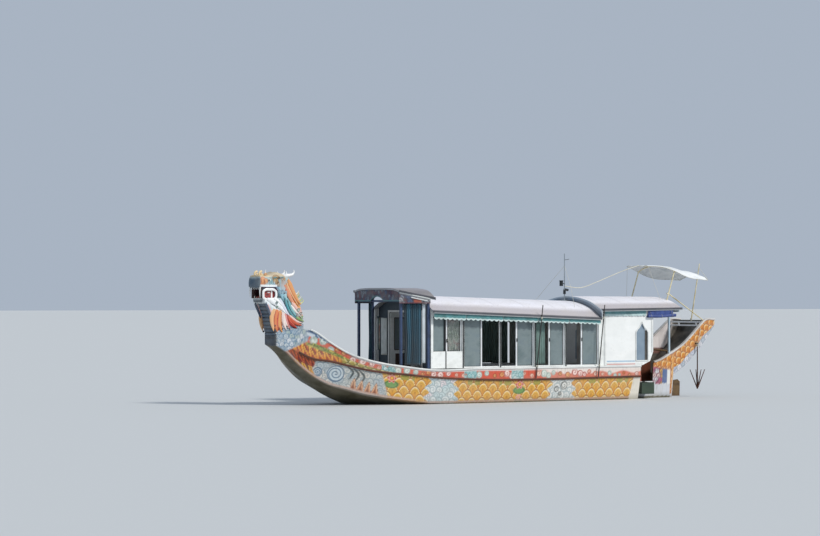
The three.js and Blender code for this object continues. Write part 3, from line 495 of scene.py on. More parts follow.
def curl(paint, s, t, where, centre, radius, ground, ink, turns=2.2, hand=1, line=0.016):
    """A disc with a spiral line: its distance from the middle grows by radius/turns a turn."""
    near = np.maximum(np.abs(s - centre[0]), np.abs(t - centre[1])) < radius * 1.2
    at = np.flatnonzero(near & (where > 0))
    if not len(at):
        return
    ds, dt = s[at] - centre[0], t[at] - centre[1]
    reach = np.hypot(ds, dt)
    turn = hand * np.arctan2(dt, ds) / (2 * np.pi)
    phase = (reach / radius * turns - turn + 0.5) % 1 - 0.5
    some = paint[at]
    lay(some, ground, where[at] * inside(reach - radius))
    lay(some, ink, where[at] * inside(np.abs(phase) * radius / turns - line / 2) * inside(reach - radius))
    lay(some, ink, where[at] * inside(np.abs(reach - radius + line / 2) - line / 2))
    paint[at] = some


def clouds(paint, s, t, where, pitch, grounds, ink, line=0.014, turns=1.9):
    """A bank of cloud curls on a staggered grid, each a little out of place, over all of where."""
    shown = np.flatnonzero(where > 0.5)
    if not len(shown):
        return
    low_s, high_s, low_t, high_t = s[shown].min(), s[shown].max(), t[shown].min(), t[shown].max()
    for row, height in enumerate(np.arange(high_t, low_t - pitch, -pitch * 0.8)):
        for step in np.arange(low_s, high_s + pitch, pitch):
            shift = rng.uniform(-0.2, 0.2, 2) * pitch + [pitch / 2 * (row % 2), 0]
            centre = np.array([step, height]) + shift
            tone = grounds[int(rng.integers(len(grounds)))]
            hand = 1 if rng.random() < 0.5 else -1
            curl(paint, s, t, where, centre, pitch * rng.uniform(0.5, 0.68), tone, ink, turns, hand, line)


def tongues(paint, s, t, where, foot, height, pitch, lean, colours):
    """A row of flame tongues on a foot line: each is as high as height times 1 - |2a - 1|^1.5,
    where a is the share of its pitch, leaned by lean and coloured from foot to tip."""
    above = t - foot
    share = ((s + lean * above) / pitch) % 1
    top = height * (1 - np.abs(2 * share - 1) ** 1.5)
    cover = where * inside(above - top) * (above > 0)
    mix = np.clip(above / height, 0, 1)[:, None]
    lay(paint, "#6E2415", where * inside(above - top - 0.02) * (above > 0) * 0.9)
    lay(paint, linear(colours[0]) * (1 - mix) + linear(colours[1]) * mix, cover)
    core = np.abs(share - 0.5) * pitch + 0.35 * np.clip(above - 0.45 * height, -1, 0)
    lay(paint, colours[2], cover * inside(core - 0.012) * inside(above - top + 0.05))


def stroke(paint, s, t, where, points, width, colour):
    """A painted line along points, as wide as width in the middle and thin at its ends."""
    line = through(points, 24)
    gap = np.full(len(s), 9.0)
    for i, (a, b) in enumerate(zip(line[:-1], line[1:])):
        step = b - a
        share = np.clip(((s - a[0]) * step[0] + (t - a[1]) * step[1]) / (step @ step), 0, 1)
        half = width / 2 * math.sin(math.pi * (i + 0.8) / 24.6) ** 0.5
        gap = np.minimum(gap, np.hypot(s - a[0] - share * step[0], t - a[1] - share * step[1]) - half)
    lay(paint, colour, where * inside(gap))


def flower(paint, s, t, where, centre, radius, petals=6, colour="#C6372B", heart="#E8B23E", leaf="#6F9A55"):
    """A rosette whose edge is radius times 0.8 + 0.2 cos(petals x angle), on a pair of leaves."""
    ds, dt = s - centre[0], t - centre[1]
    reach, angle = np.hypot(ds, dt), np.arctan2(dt, ds)
    leaves = np.hypot(ds / 1.55, (dt + radius * 1.25) / 0.8) - radius
    lay(paint, leaf, where * inside(leaves))
    lay(paint, "#3F5F3A", where * inside(np.abs(leaves + 0.02) - 0.008))
    edge = radius * (0.8 + 0.2 * np.cos(petals * angle))
    lay(paint, "#F0C7B8", where * inside(reach - edge - 0.012))
    lay(paint, colour, where * inside(reach - edge))
    lay(paint, "#F0B9A6", where * inside(np.abs(reach - 0.55 * radius) - 0.009))
    lay(paint, heart, where * inside(reach - 0.3 * radius))


# Hull: x, keel z, then y and z of the chine, the rub strake and the sheer, as the frame has them
HULL = np.array([
    [-3.88, -0.400, 1.120, -0.160, 1.270, 0.560, 1.290, 0.800],
    [-2.50, -0.430, 1.170, -0.150, 1.310, 0.550, 1.325, 0.800],
    [-0.80, -0.440, 1.200, -0.130, 1.340, 0.540, 1.350, 0.800],
    [0.90, -0.420, 1.190, -0.090, 1.330, 0.560, 1.340, 0.800],
    [2.40, -0.330, 1.130, 0.050, 1.250, 0.650, 1.265, 0.800],
    [2.95, -0.230, 1.060, 0.120, 1.165, 0.710, 1.180, 0.870],
    [3.45, -0.090, 0.970, 0.195, 1.060, 0.760, 1.085, 0.945],
    [3.90, 0.005, 0.860, 0.280, 0.950, 0.830, 0.980, 1.050],
    [4.30, 0.150, 0.745, 0.390, 0.820, 0.930, 0.850, 1.200],
    [4.70, 0.355, 0.600, 0.510, 0.660, 1.030, 0.690, 1.460],
    [5.06, 0.620, 0.470, 0.720, 0.530, 1.090, 0.545, 1.720],
    [5.37, 0.850, 0.370, 0.980, 0.410, 1.240, 0.400, 1.790],
    [5.64, 1.095, 0.290, 1.260, 0.310, 1.400, 0.300, 1.725],
    [5.90, 1.370, 0.245, 1.420, 0.250, 1.520, 0.250, 1.660],
])
PLANK = 0.04
STEM_X, HULL_END_X = 5.90, -3.88


def hull_lines(x):
    """Heights of the keel, chine, strake and sheer at x."""
    return along(HULL[:, 0], HULL[:, [1, 3, 5, 7]], x).T


def hull_sides(x):
    """Half widths of the keel, chine, strake and sheer at x."""
    widths = np.column_stack([np.zeros(len(HULL)), HULL[:, [2, 4, 6]]])
    return along(HULL[:, 0], widths, x).T


def section(x, g):
    """Points of half sections: g runs straight from the keel, 0, to the chine, strake and sheer, 3."""
    widths, heights = hull_sides(x).T, hull_lines(x).T
    i = np.clip(np.floor(np.abs(g)).astype(int), 0, 2)
    f = np.abs(g) - i
    y = widths[:, i] * (1 - f) + widths[:, i + 1] * f
    z = heights[:, i] * (1 - f) + heights[:, i + 1] * f
    return np.stack([np.broadcast_to(x[:, None], y.shape), y * np.sign(g), z], -1)


def paint_hull(x, z, g):
    """The hull's painting. Below the strake come scales amidships, white cloud panels, flowers,
    a bank of blue spirals under the bow and flames; above it a red band with curls."""
    _, chine, strake, sheer = hull_lines(x)
    paint = plain("#4B4630", x)
    t = z - strake
    share = t / (sheer - strake)
    above_chine = inside(1.0 - g, 0.03)
    low_side = above_chine * inside(g - 2.0, 0.03)
    high_side = inside(2.0 - g, 0.03)

    scales(paint, x, t, low_side)
    leaves = (np.sin(x * 7.1) > 0.35) * inside(np.abs(((x / 0.28) % 1) - 0.5) * 0.28 - 0.1)
    lay(paint, "#8E9A4A", low_side * inside(-t - 0.13) * leaves * 0.7)

    for front, back, grounds in (
        (2.43, 1.50, ("#DDE2E0", "#C9D9DA", "#E3D8DA")), (-1.02, -1.90, ("#E2E3DF", "#D9DDDB")),
    ):
        middle, half = (front + back) / 2, (front - back) / 2
        bank = np.abs(x - middle) - half * (0.86 + 0.14 * np.cos(t * 26)) + 0.25 * np.clip(t + 0.3, 0, 1)
        panel = low_side * inside(bank)
        lay(paint, grounds[0], panel)
        clouds(paint, x, t, panel, 0.17, grounds, "#8FA2A8", 0.013, 1.6)
    for centre, radius, hand in (
        ((-1.52, -0.16), 0.1, 1), ((-1.30, -0.24), 0.07, -1), ((-1.42, -0.36), 0.05, 1),
    ):
        curl(paint, x, t, low_side, centre, radius, "#E4E6E2", "#3B4347", 1.5, hand, 0.018)

    for x0 in (3.26, -0.2):
        flower(paint, x, t, low_side, (x0, -0.11), 0.115)
    flower(paint, x, t, low_side, (-0.2, -0.42), 0.07, 5, "#D4604E", "#E7C06A", "#88A35E")

    # Under the bow: grey-white cloud, two blue spirals, peach tongues on the chine, then flames
    bank = inside(3.52 - x + 0.35 * t, 0.05) * inside(x - 5.06 - 0.5 * (t + 0.2), 0.05) * low_side
    lay(paint, "#BFC2BC", bank)
    clouds(paint, x, t, bank, 0.15, ("#C6C9C4", "#B4BCBE", "#D2CDC4"), "#7F9098", 0.012, 1.5)
    for centre, radius, hand in (((4.95, 0.79), 0.105, 1), ((4.55, 0.74), 0.19, -1)):
        curl(paint, x, z, bank, centre, radius, "#C3CFD3", "#41617F", 2.6, hand, 0.02)
    for foot in (0.0, 0.13, 0.26):
        claw = [
            (4.3 - foot, 0.9 - 0.3 * foot), (4.17 - foot, 0.78 - foot * 0.5), (4.24 - foot, 0.62 - foot * 0.4),
        ]
        stroke(paint, x, z, bank, claw, 0.05, "#39474B")
    peach = low_side * between(x, 3.55, 4.2, 0.05)
    tongues(paint, x, z - chine, peach, 0.02, 0.26, 0.17, 0.15, ("#C98B68", "#E2B893", "#8E5236"))
    fire = low_side * inside(4.98 - x - 0.4 * t, 0.05)
    lay(paint, "#7C3A1C", fire)
    for foot, tone in (
        (-0.36, ("#D9972E", "#E8C04A", "#9E3D1C")), (-0.18, ("#A83A22", "#D26A2C", "#6C1F16")),
    ):
        tongues(paint, x, t, fire, foot, 0.24, 0.15, -0.5, tone)
    lay(paint, "#C9A79B", inside(np.abs(z - 0.05) - 0.022) * above_chine * inside(x - 2.6, 0.4) * 0.85)
    lay(paint, "#2E2C26", inside(z - 0.026, 0.01) * inside(x - 2.9, 0.4) * 0.9)
    edge = inside(np.abs(z - chine - 0.025) - 0.025) * inside(2.6 - x, 0.4)
    lay(paint, "#BFA396", edge * 0.85)

    # Above the strake: flames and leaves at the bow, the red band, stripes under the gunwale
    lay(paint, "#7C3A1C", high_side)
    mossy = ("#8F8434", "#C9B45C"), "#DDD2A0", "#4D4A26"
    scales(paint, x, t, high_side * inside(x - 4.5, 0.1), 0.2, 0.1, *mossy)
    lay(paint, "#C4622A", high_side * inside(4.5 - x, 0.1))
    for foot, tone in ((0.15, ("#C9531F", "#E39A2E", "#8A2D17")), (0.0, ("#E08A28", "#EFC34C", "#A63F1C"))):
        tongues(paint, x, t, high_side * inside(4.45 - x, 0.08), foot, 0.27, 0.16, -0.4, tone)
    leaf = high_side * between(x, 4.35, 5.2, 0.05)
    leaf *= inside(np.abs(share - 0.52) - 0.1, 0.06)
    clouds(paint, x, t, leaf, 0.12, ("#A9AE4C", "#8C9E45", "#C6BE62"), "#4F5A2A", 0.014, 1.4)
    lower = np.interp(x, [2.9, 3.5, 4.0, 4.5, 4.85, 5.2, 5.4], [0, 0.3, 0.5, 0.66, 0.62, 0.54, 0.62])
    upper = np.interp(x, [4.4, 4.75, 5.0, 5.2, 5.4], [1.3, 0.92, 0.85, 0.72, 0.62])
    depth = sheer - strake
    band = high_side * inside((lower - share) * depth) * inside((share - upper) * depth)
    lay(paint, "#D0553C", band)
    stripes = high_side * inside((upper - share) * depth) * inside(4.3 - x, 0.05) * inside(x - 5.4, 0.04)
    lay(paint, "#C9D4DC", stripes)
    lay(paint, "#44658B", stripes * (0.5 + 0.5 * np.sign(np.sin(share * depth * 110))))
    aft = inside(x + 0.9, 0.3)
    lay(paint, "#D98E78", band * aft * 0.5)
    lay(paint, "#EAE2DB", band * aft * inside(0.55 - share + 0.12 * np.sin(x * 9), 0.15) * 0.9)
    tones = (("#F0D3CB", "#A23B2B"), ("#E9C8B5", "#B54A30"), ("#D7DED6", "#8FA39A"), ("#E5A468", "#9C3A20"))
    for step, x0 in enumerate(np.arange(-3.75, 5.1, 0.18)):
        place = x0 + 0.05 * math.sin(7.3 * step)
        _, _, low, high = (line[0] for line in hull_lines(np.array([place])))
        rise = np.interp(x0, [-2.9, -2.5, 3.0, 4.5, 5.1], [0.28, 0.48, 0.52, 0.83, 0.7])
        centre = (place, low + (high - low) * (float(rise) + 0.14 * math.sin(4.1 * step)))
        radius = (0.055 + 0.035 * math.cos(5.7 * step) ** 2) * (0.7 if x0 < -2.6 else 1.0)
        pale, ink = tones[step * 7 % 11 % 4]
        curl(paint, x, z, band, centre, radius, pale, ink, 1.4, 1 - 2 * (step % 2), 0.016)
    for x0 in (3.35, 1.22, -0.12):
        spot = band * inside(np.abs(x - x0) - 0.17, 0.03)
        clouds(paint, x, t, spot, 0.1, ("#C8DEDC", "#A9CFCE", "#E8ECE8"), "#4F8F93", 0.014, 1.5)
    lay(paint, "#E7E2DE", band * inside(0.86 - share, 0.08) * inside(x - 4.2, 0.2) * 0.8)

    # The bow's end: a bank of blue-white cloud, then the dark chest on the stem
    bank = inside(5.16 - x + 0.3 * (z - 1.5), 0.05) * above_chine * inside(1.3 - z + 0.5 * (5.6 - x), 0.05)
    lay(paint, "#BCCBD4", bank)
    clouds(paint, x, z, bank, 0.115, ("#C3CCCE", "#AEBDC6", "#DCDFE0", "#B7C4BB"), "#5A7C98", 0.014, 1.6)
    lay(paint, "#E3DED2", low_side * inside(x + 3.62 + 0.15 * (t + 0.3), 0.03))
    stem = inside(5.872 - x, 0.02) * inside(1.40 - z, 0.04)
    # Dark navy on the bow-facing stem, standing partly for its shade.
    lay(paint, "#34495C", stem)
    lay(paint, "#1F2C3A", stem * inside(0.25 - np.abs(np.sin(np.pi * z / 0.085)), 0.1))
    return paint


def make_hull():
    """The hull's outer skin, painted, with its lining 40 mm inside it."""
    x = np.linspace(HULL_END_X, STEM_X, 540)
    half = np.concatenate([np.linspace(3, 2, 17), np.linspace(2, 1, 46)[1:], np.linspace(1, 0, 7)[1:]])
    g = np.concatenate([half, -half[-2::-1]])
    outer = section(x, g)
    inner_g = np.array([3, 2, 1, 0.5, 0, -0.5, -1, -2, -3.0])
    inner = section(np.clip(x, HULL_END_X + PLANK, STEM_X - PLANK), inner_g)
    inner[..., 1] -= np.sign(inner_g) * PLANK
    inner[..., 2] += PLANK * (np.abs(inner_g) < 3) * np.clip(2 - np.abs(inner_g), 0.3, 1)
    points, faces = trough(outer, inner)
    skin = outer.reshape(-1, 3)
    girth = np.broadcast_to(np.abs(g), outer.shape[:2]).ravel()
    paint = plain("#A9B4B2", points)
    paint[: len(skin)] = paint_hull(skin[:, 0], skin[:, 2], girth)
    piece("hull_painted", points, faces, enamel, stands_for=["hull_shell"], paint=paint)


def edge_strip(name, row, front, width, height, out, up, material, node_name):
    """A strip carried along the strake, row 2, or the sheer, row 3, on each side up to x = front:
    its middle stands out from the skin by out and above the line by up."""
    x = np.linspace(HULL_END_X, front, 260)
    for side_name, sign in SIDES:
        y = hull_sides(x)[row] + out
        path = np.column_stack([x, sign * y, hull_lines(x)[row] + up])
        strip = carried(path, rounded(width, height, 0.011))
        merged(f"{name}_{side_name}", [strip], material, stands_for=[f"{node_name}_{side_name}"])


# Stern: x, half width and height of the bottom's edge, half width and height of the sheer
TAIL = np.array([
    [-6.690, 0.700, 1.790, 0.715, 1.940],
    [-6.380, 0.715, 1.430, 0.740, 1.930],
    [-6.090, 0.735, 1.150, 0.765, 1.710],
    [-5.830, 0.750, 0.900, 0.790, 1.490],
    [-5.600, 0.765, 0.745, 0.810, 1.320],
    [-5.300, 0.780, 0.560, 0.825, 1.150],
])
QUARTER = np.array([
    [-5.250, 0.740, -0.260, 0.825, 1.130],
    [-4.800, 0.750, -0.330, 0.840, 0.920],
    [-4.640, 0.755, -0.350, 0.845, 0.880],
    [-3.881, 0.780, -0.390, 0.860, 0.800],
])
BAY_BACK, BAY_FRONT, BAY_SILL = -4.62, -4.01, 0.42


def stern_rows(x):
    """The stern's table at x: the tail and the quarter below it are two smooth stretches."""
    tail, quarter = (along(t[:, 0], t[:, 1:], x) for t in (TAIL, QUARTER))
    return np.where((x < -5.275)[:, None], tail, quarter)


def stern_skin(x, side_steps, bottom_steps, inset):
    """Sections from the port rim down the side, across the flat bottom and up again, inset from
    the outer face. Between the engine bay's two edges the rim drops to the bay's sill."""
    rows = stern_rows(np.clip(x, TAIL[0, 0] + inset, QUARTER[-1, 0] - inset))
    low_y, low_z, high_y, high_z = (rows - [inset, -inset, inset, 0]).T
    open_bay = (x > BAY_BACK) & (x < BAY_FRONT)
    rim = np.where(open_bay, BAY_SILL, high_z)
    down = np.linspace(0, 1, side_steps)
    z = rim[:, None] + (low_z - rim)[:, None] * down
    full = (z - low_z[:, None]) / (high_z - low_z)[:, None]
    y = low_y[:, None] + (high_y - low_y)[:, None] * full
    over = low_y[:, None] * np.linspace(1, 0, bottom_steps)[1:]
    y = np.concatenate([y, over], 1)
    z = np.concatenate([z, np.broadcast_to(low_z[:, None], over.shape)], 1)
    y = np.concatenate([y, -y[:, -2::-1]], 1)
    z = np.concatenate([z, z[:, -2::-1]], 1)
    return np.stack([np.broadcast_to(x[:, None], y.shape), y, z], -1)


def paint_stern(x, z):
    """Scales up the tail boards, cloud along their lower edge, and panels of pink cloud, blue
    and white beside the engine bay, over a pale hull."""
    _, low, _, high = stern_rows(x).T
    paint = plain("#C3C6C6", x)
    slope = math.radians(41)
    s = -x * math.cos(slope) + z * math.sin(slope)
    t = x * math.sin(slope) + z * math.cos(slope)
    share = (z - low) / (high - low)
    tail = inside(x + 5.2, 0.03)
    clouds(paint, s, t, tail, 0.15, ("#C4C8D6", "#DAD9DF", "#B3BFCB"), "#7C8794", 0.013, 1.6)
    middle = tail * inside((0.32 + 0.05 * np.sin(9 * s) - share) * 0.5) * inside((share - 0.97) * 0.5)
    quarter = inside(-5.2 - x, 0.03) * inside(0.75 - z + 0.15 * (x + 4.9), 0.03) * inside(x + 4.62, 0.03)
    side = inside(-5.2 - x, 0.03)
    lay(paint, "#D0D3D4", side)
    pink = side * inside(0.34 - z) * between(x, -4.93, -4.62)
    lay(paint, "#D7A9AE", pink)
    clouds(paint, x, z, pink, 0.13, ("#D9C0B8", "#B85A7A", "#D8DADC", "#C9A24E"), "#6E3350", 0.016, 1.5)
    blue = side * inside(0.36 - z) * between(x, -5.09, -4.93)
    lay(paint, "#3F5F93", blue)
    lay(paint, "#E4E5E3", side * inside(0.3 - z) * inside(x + 5.09))
    lay(paint, "#C9CDD3", inside(z - 0.34) * side)
    scales(paint, s, t, np.maximum(middle, quarter), 0.21, 0.13, ("#BC611A", "#E8A038"), "#EBD3A0", "#7E3E1A")
    lay(paint, "#4B4630", inside(z - 0.045) * side)
    return paint


def make_stern():
    """The stern shell with its engine bay, painted outside and pale inside, with painted shade
    darkening the lining low down and towards the tail, and its caps.
    """
    jamb = 0.0004
    x = np.unique(np.concatenate([
        np.linspace(TAIL[0, 0], TAIL[-1, 0], 86), np.linspace(QUARTER[0, 0], QUARTER[-1, 0], 80),
        [BAY_BACK - jamb, BAY_BACK + jamb, BAY_FRONT - jamb, BAY_FRONT + jamb],
    ]))
    outer, inner = stern_skin(x, 42, 8, 0.0), stern_skin(x, 30, 16, PLANK)
    inner[..., 0] = np.clip(inner[..., 0], x[0] + PLANK, x[-1] - PLANK)
    points, faces = trough(outer, inner)
    skin = outer.reshape(-1, 3)
    paint = plain("#F4ECEA", points)
    # Painted shade in the stern's well: the lining darkens to red-brown below 1.22 m and near black below 1.08
    # m, and is near black on the bottom aft of x = -5.4 and at the tail's end.
    lay(paint, "#6B3326", inside(points[:, 2] - 1.22, 0.03))
    lay(paint, "#1E1815", inside(points[:, 2] - 1.08, 0.03))
    lay(paint, "#15120F", inside(points[:, 0] + 5.4, 0.1) * inside(np.abs(points[:, 1]) - 0.69, 0.02))
    lay(paint, "#15120F", inside(points[:, 0] + 6.45, 0.06))
    paint[: len(skin)] = paint_stern(skin[:, 0], skin[:, 2])
    piece("stern_painted", points, faces, enamel, stands_for=["stern_shell"], paint=paint)
    x = np.linspace(-6.69, -4.64, 70)
    _, _, y, z = stern_rows(x).T
    for name, sign in SIDES:
        path = np.column_stack([x, sign * (y - 0.024), z + 0.0205])
        cap = carried(path, rounded(0.09, 0.04, 0.012))
        merged(f"tail_board_cap_{name}", [cap], worn_enamel, stands_for=[f"tail_cap_{name}"])


# Roofs: x, half width, eave and crown heights; an arch gives the rise at shares of the half width
ARCH = [[0, 1], [0.24, 0.945], [0.48, 0.79], [0.69, 0.57], [0.88, 0.24], [1, 0]]
FLAT_ARCH = [[0, 1], [0.5, 0.94], [0.8, 0.66], [1, 0]]
MAIN_ROOF = [[-2.57, 1.45, 1.992, 2.43], [2.32, 1.45, 2.176, 2.57]]
AFT_ROOF = [[-5.18, 1.30, 2.238, 2.54], [-2.571, 1.45, 2.205, 2.548]]
PORCH_ROOF = [[2.25, 1.41, 2.48, 2.735], [3.03, 1.03, 2.66, 2.735]]
ROOF_THICK = 0.036


def arched(rows, arch, x, share, drop=0.0):
    """Points of a roof: at x its half width, eave and crown go evenly from row to row, and its
    height at a share of the half width follows the arch, mirrored about the ridge."""
    rows, arch = np.array(rows), np.array(arch)
    both_sides = np.concatenate([arch[:0:-1] * [-1, 1], arch])
    rise = along(both_sides[:, 0], both_sides[:, 1], share)
    half, eave, crown = (np.interp(x, rows[:, 0], rows[:, i])[:, None] for i in (1, 2, 3))
    y = half * share
    z = eave + (crown - eave) * np.clip(rise, 0, 1) - drop
    return np.stack([np.broadcast_to(x[:, None], y.shape), y, z], -1)


def slab(top, under):
    """Two grids of the same size as the two faces of a sheet, joined all round."""
    n, m = top.shape[:2]
    number = np.arange(n * m).reshape(n, m)
    border = np.concatenate([number[:-1, 0], number[-1, :-1], number[:0:-1, -1], number[0, :0:-1]])
    after = np.roll(border, -1)
    walls = np.column_stack([border, border + n * m, after + n * m, after])
    faces = [quads(n, m), quads(n, m, flip=True, start=n * m), walls]
    return np.concatenate([top.reshape(-1, 3), under.reshape(-1, 3)]), faces


def roof(name, node_name, rows, arch, seams=(), top="#F0EEF4", skirt="#B0A9AC"):
    """A roof of enamelled sheet: white above, dusty pink towards the eaves and dark at the edge,
    with raised seams across it and a folded trim along each eave. The dark band at the edge is
    painted shade at the eave, and the trim's dark grey is partly painted shade too."""
    x = np.linspace(rows[0][0], rows[-1][0], 60)
    share = np.concatenate([np.linspace(-1, -0.9, 6), np.linspace(-0.87, 0.87, 50), np.linspace(0.9, 1, 6)])
    points, faces = slab(arched(rows, arch, x, share), arched(rows, arch, x, share, ROOF_THICK))
    ends, halves = np.array(rows).T[:2]
    across = np.abs(points[:, 1]) / np.interp(points[:, 0], x, np.interp(x, ends, halves))
    paint = plain(top, points)
    lay(paint, skirt, np.clip((across - 0.70) / 0.12, 0, 1) * 0.85)
    # Painted shade: the dark band along the edge of the roof at the eave.
    lay(paint, "#3F4046", inside(0.957 - across, 0.02))
    lay(paint, "#A9B0B6", (np.arange(len(points)) >= len(points) // 2) * 1.0)
    piece(name, points, faces, roof_enamel, stands_for=[node_name], paint=paint)
    parts = []
    for place in seams:
        line = arched(rows, arch, np.array([place]), np.linspace(-0.72, 0.72, 50))[0]
        parts.append((*carried(line, rounded(0.006, 0.03, 0.002), up=(1, 0, 0)), "#E6E4EA"))
    if parts:
        merged(f"{name}_seams", parts, roof_enamel)
    for side_name, sign in SIDES:
        line = arched(rows, arch, x, np.array([sign * 0.993]))[:, 0]
        points, faces = carried(line, rounded(0.024, 0.05, 0.008))
        piece(f"{name}_eave_trim_{side_name}", points, faces, trim_metal)


# Dragon: outlines are (x, z) in the boat's own frame
RIB_PITCH = 0.085
NECK_BACK = [[5.11, 1.66], [5.11, 1.85], [5.115, 2.03], [5.15, 2.18], [5.23, 2.37], [5.34, 2.5]]
NECK_FRONT = [[5.94, 1.66], [5.985, 1.90], [6.03, 2.12], [6.09, 2.30], [6.12, 2.42], [6.12, 2.5]]
HEAD_TOP = [
    [5.34, 2.50], [5.385, 2.64], [5.44, 2.80], [5.50, 2.93], [5.64, 3.03], [5.76, 3.075], [5.90, 3.085],
    [6.03, 3.04], [6.15, 3.015], [6.25, 3.02], [6.31, 2.99], [6.335, 2.90],
]


def dragon_neck():
    """The neck: squared ovals between its back and front lines, 0.5 m wide, with a chest of
    rounded ribs across its front, a rib every 85 mm."""
    height = np.linspace(1.64, 2.5, 130)
    back, front = (along(*np.array(line)[:, ::-1].T, height)[:, None] for line in (NECK_BACK, NECK_FRONT))
    angle = np.linspace(0, 2 * np.pi, 129)[:-1]
    ahead, across = squared(angle, 0.32)
    ribbed = np.clip((np.cos(angle) - 0.45) / 0.25, 0, 1)
    ribs = np.abs(np.sin(np.pi * height / RIB_PITCH)) ** 0.6
    x = (back + front) / 2 + (front - back) / 2 * ahead
    x += 0.022 * ribs[:, None] * ribbed - 0.012 * ribbed
    points, faces = lofted(x, 0.25 * across, height[:, None])
    paint = plain("#C9CDD2", points)
    px, pz = points[:, 0], points[:, 2]
    c = np.broadcast_to(np.cos(angle), x.shape).ravel()
    from_back = px - along(*np.array(NECK_BACK)[:, ::-1].T, pz)
    from_front = along(*np.array(NECK_FRONT)[:, ::-1].T, pz) - px
    lay(paint, "#6FA3AA", inside(2.02 - pz, 0.06))
    lay(paint, "#E2E7E8", inside(from_front - 0.36, 0.04) * inside(2.13 - pz, 0.03))
    for z0, tone in ((2.36, "#DD7A3E"), (2.2, "#E9A35C"), (2.07, "#E0A9A2"), (1.98, "#CFC9C2")):
        lay(paint, tone, inside(from_back - 0.17, 0.03) * inside(z0 - pz, 0.03) * inside(pz - z0 - 0.2, 0.03))
    under = inside(pz - 2.15 + 0.35 * from_back, 0.03) * inside(1.86 - pz, 0.04)
    lay(paint, "#D98A58", under * inside(px - 5.95, 0.03))
    cheek = inside(from_front - 0.45, 0.04)
    for centre, radius, hand in (
        ((5.93, 2.36), 0.06, 1), ((5.80, 2.27), 0.045, -1), ((5.66, 2.19), 0.035, 1),
    ):
        curl(paint, px, pz, cheek, centre, radius, "#EDF0F1", "#26364A", 1.5, hand, 0.014)
    low = inside(pz - 1.92 + 0.3 * (px - 5.5), 0.03)
    clouds(paint, px, pz, low, 0.115, ("#C3CCCE", "#AEBDC6", "#DCDFE0"), "#5A7C98", 0.014, 1.6)
    chest = np.clip((c - 0.55) / 0.06, 0, 1)
    groove = 1 - np.abs(np.sin(np.pi * pz / RIB_PITCH)) ** 0.6
    # Dark navy on the bow-facing chest, standing partly for its shade, and painted shade in the grooves between
    # its ribs.
    lay(paint, "#3A5166", chest)
    lay(paint, "#22303F", chest * np.clip(groove * 1.6, 0, 1))
    lay(paint, "#7F95A3", chest * np.clip((0.62 - c) / 0.05, 0, 1) * 0.7)
    piece("dragon_neck_carved", points, faces, enamel, stands_for=["dragon_neck"], paint=paint)


# At places along x, the head's half width and the height of its lower edge
HEAD_HALF = [
    [5.34, 5.42, 5.55, 5.86, 6.0, 6.2, 6.3, 6.335],
    [0.2, 0.245, 0.262, 0.262, 0.25, 0.262, 0.26, 0.235],
]
HEAD_FOOT = [[5.34, 5.79, 5.83, 5.88, 6.29, 6.335], [2.5, 2.5, 2.6, 2.708, 2.722, 2.74]]


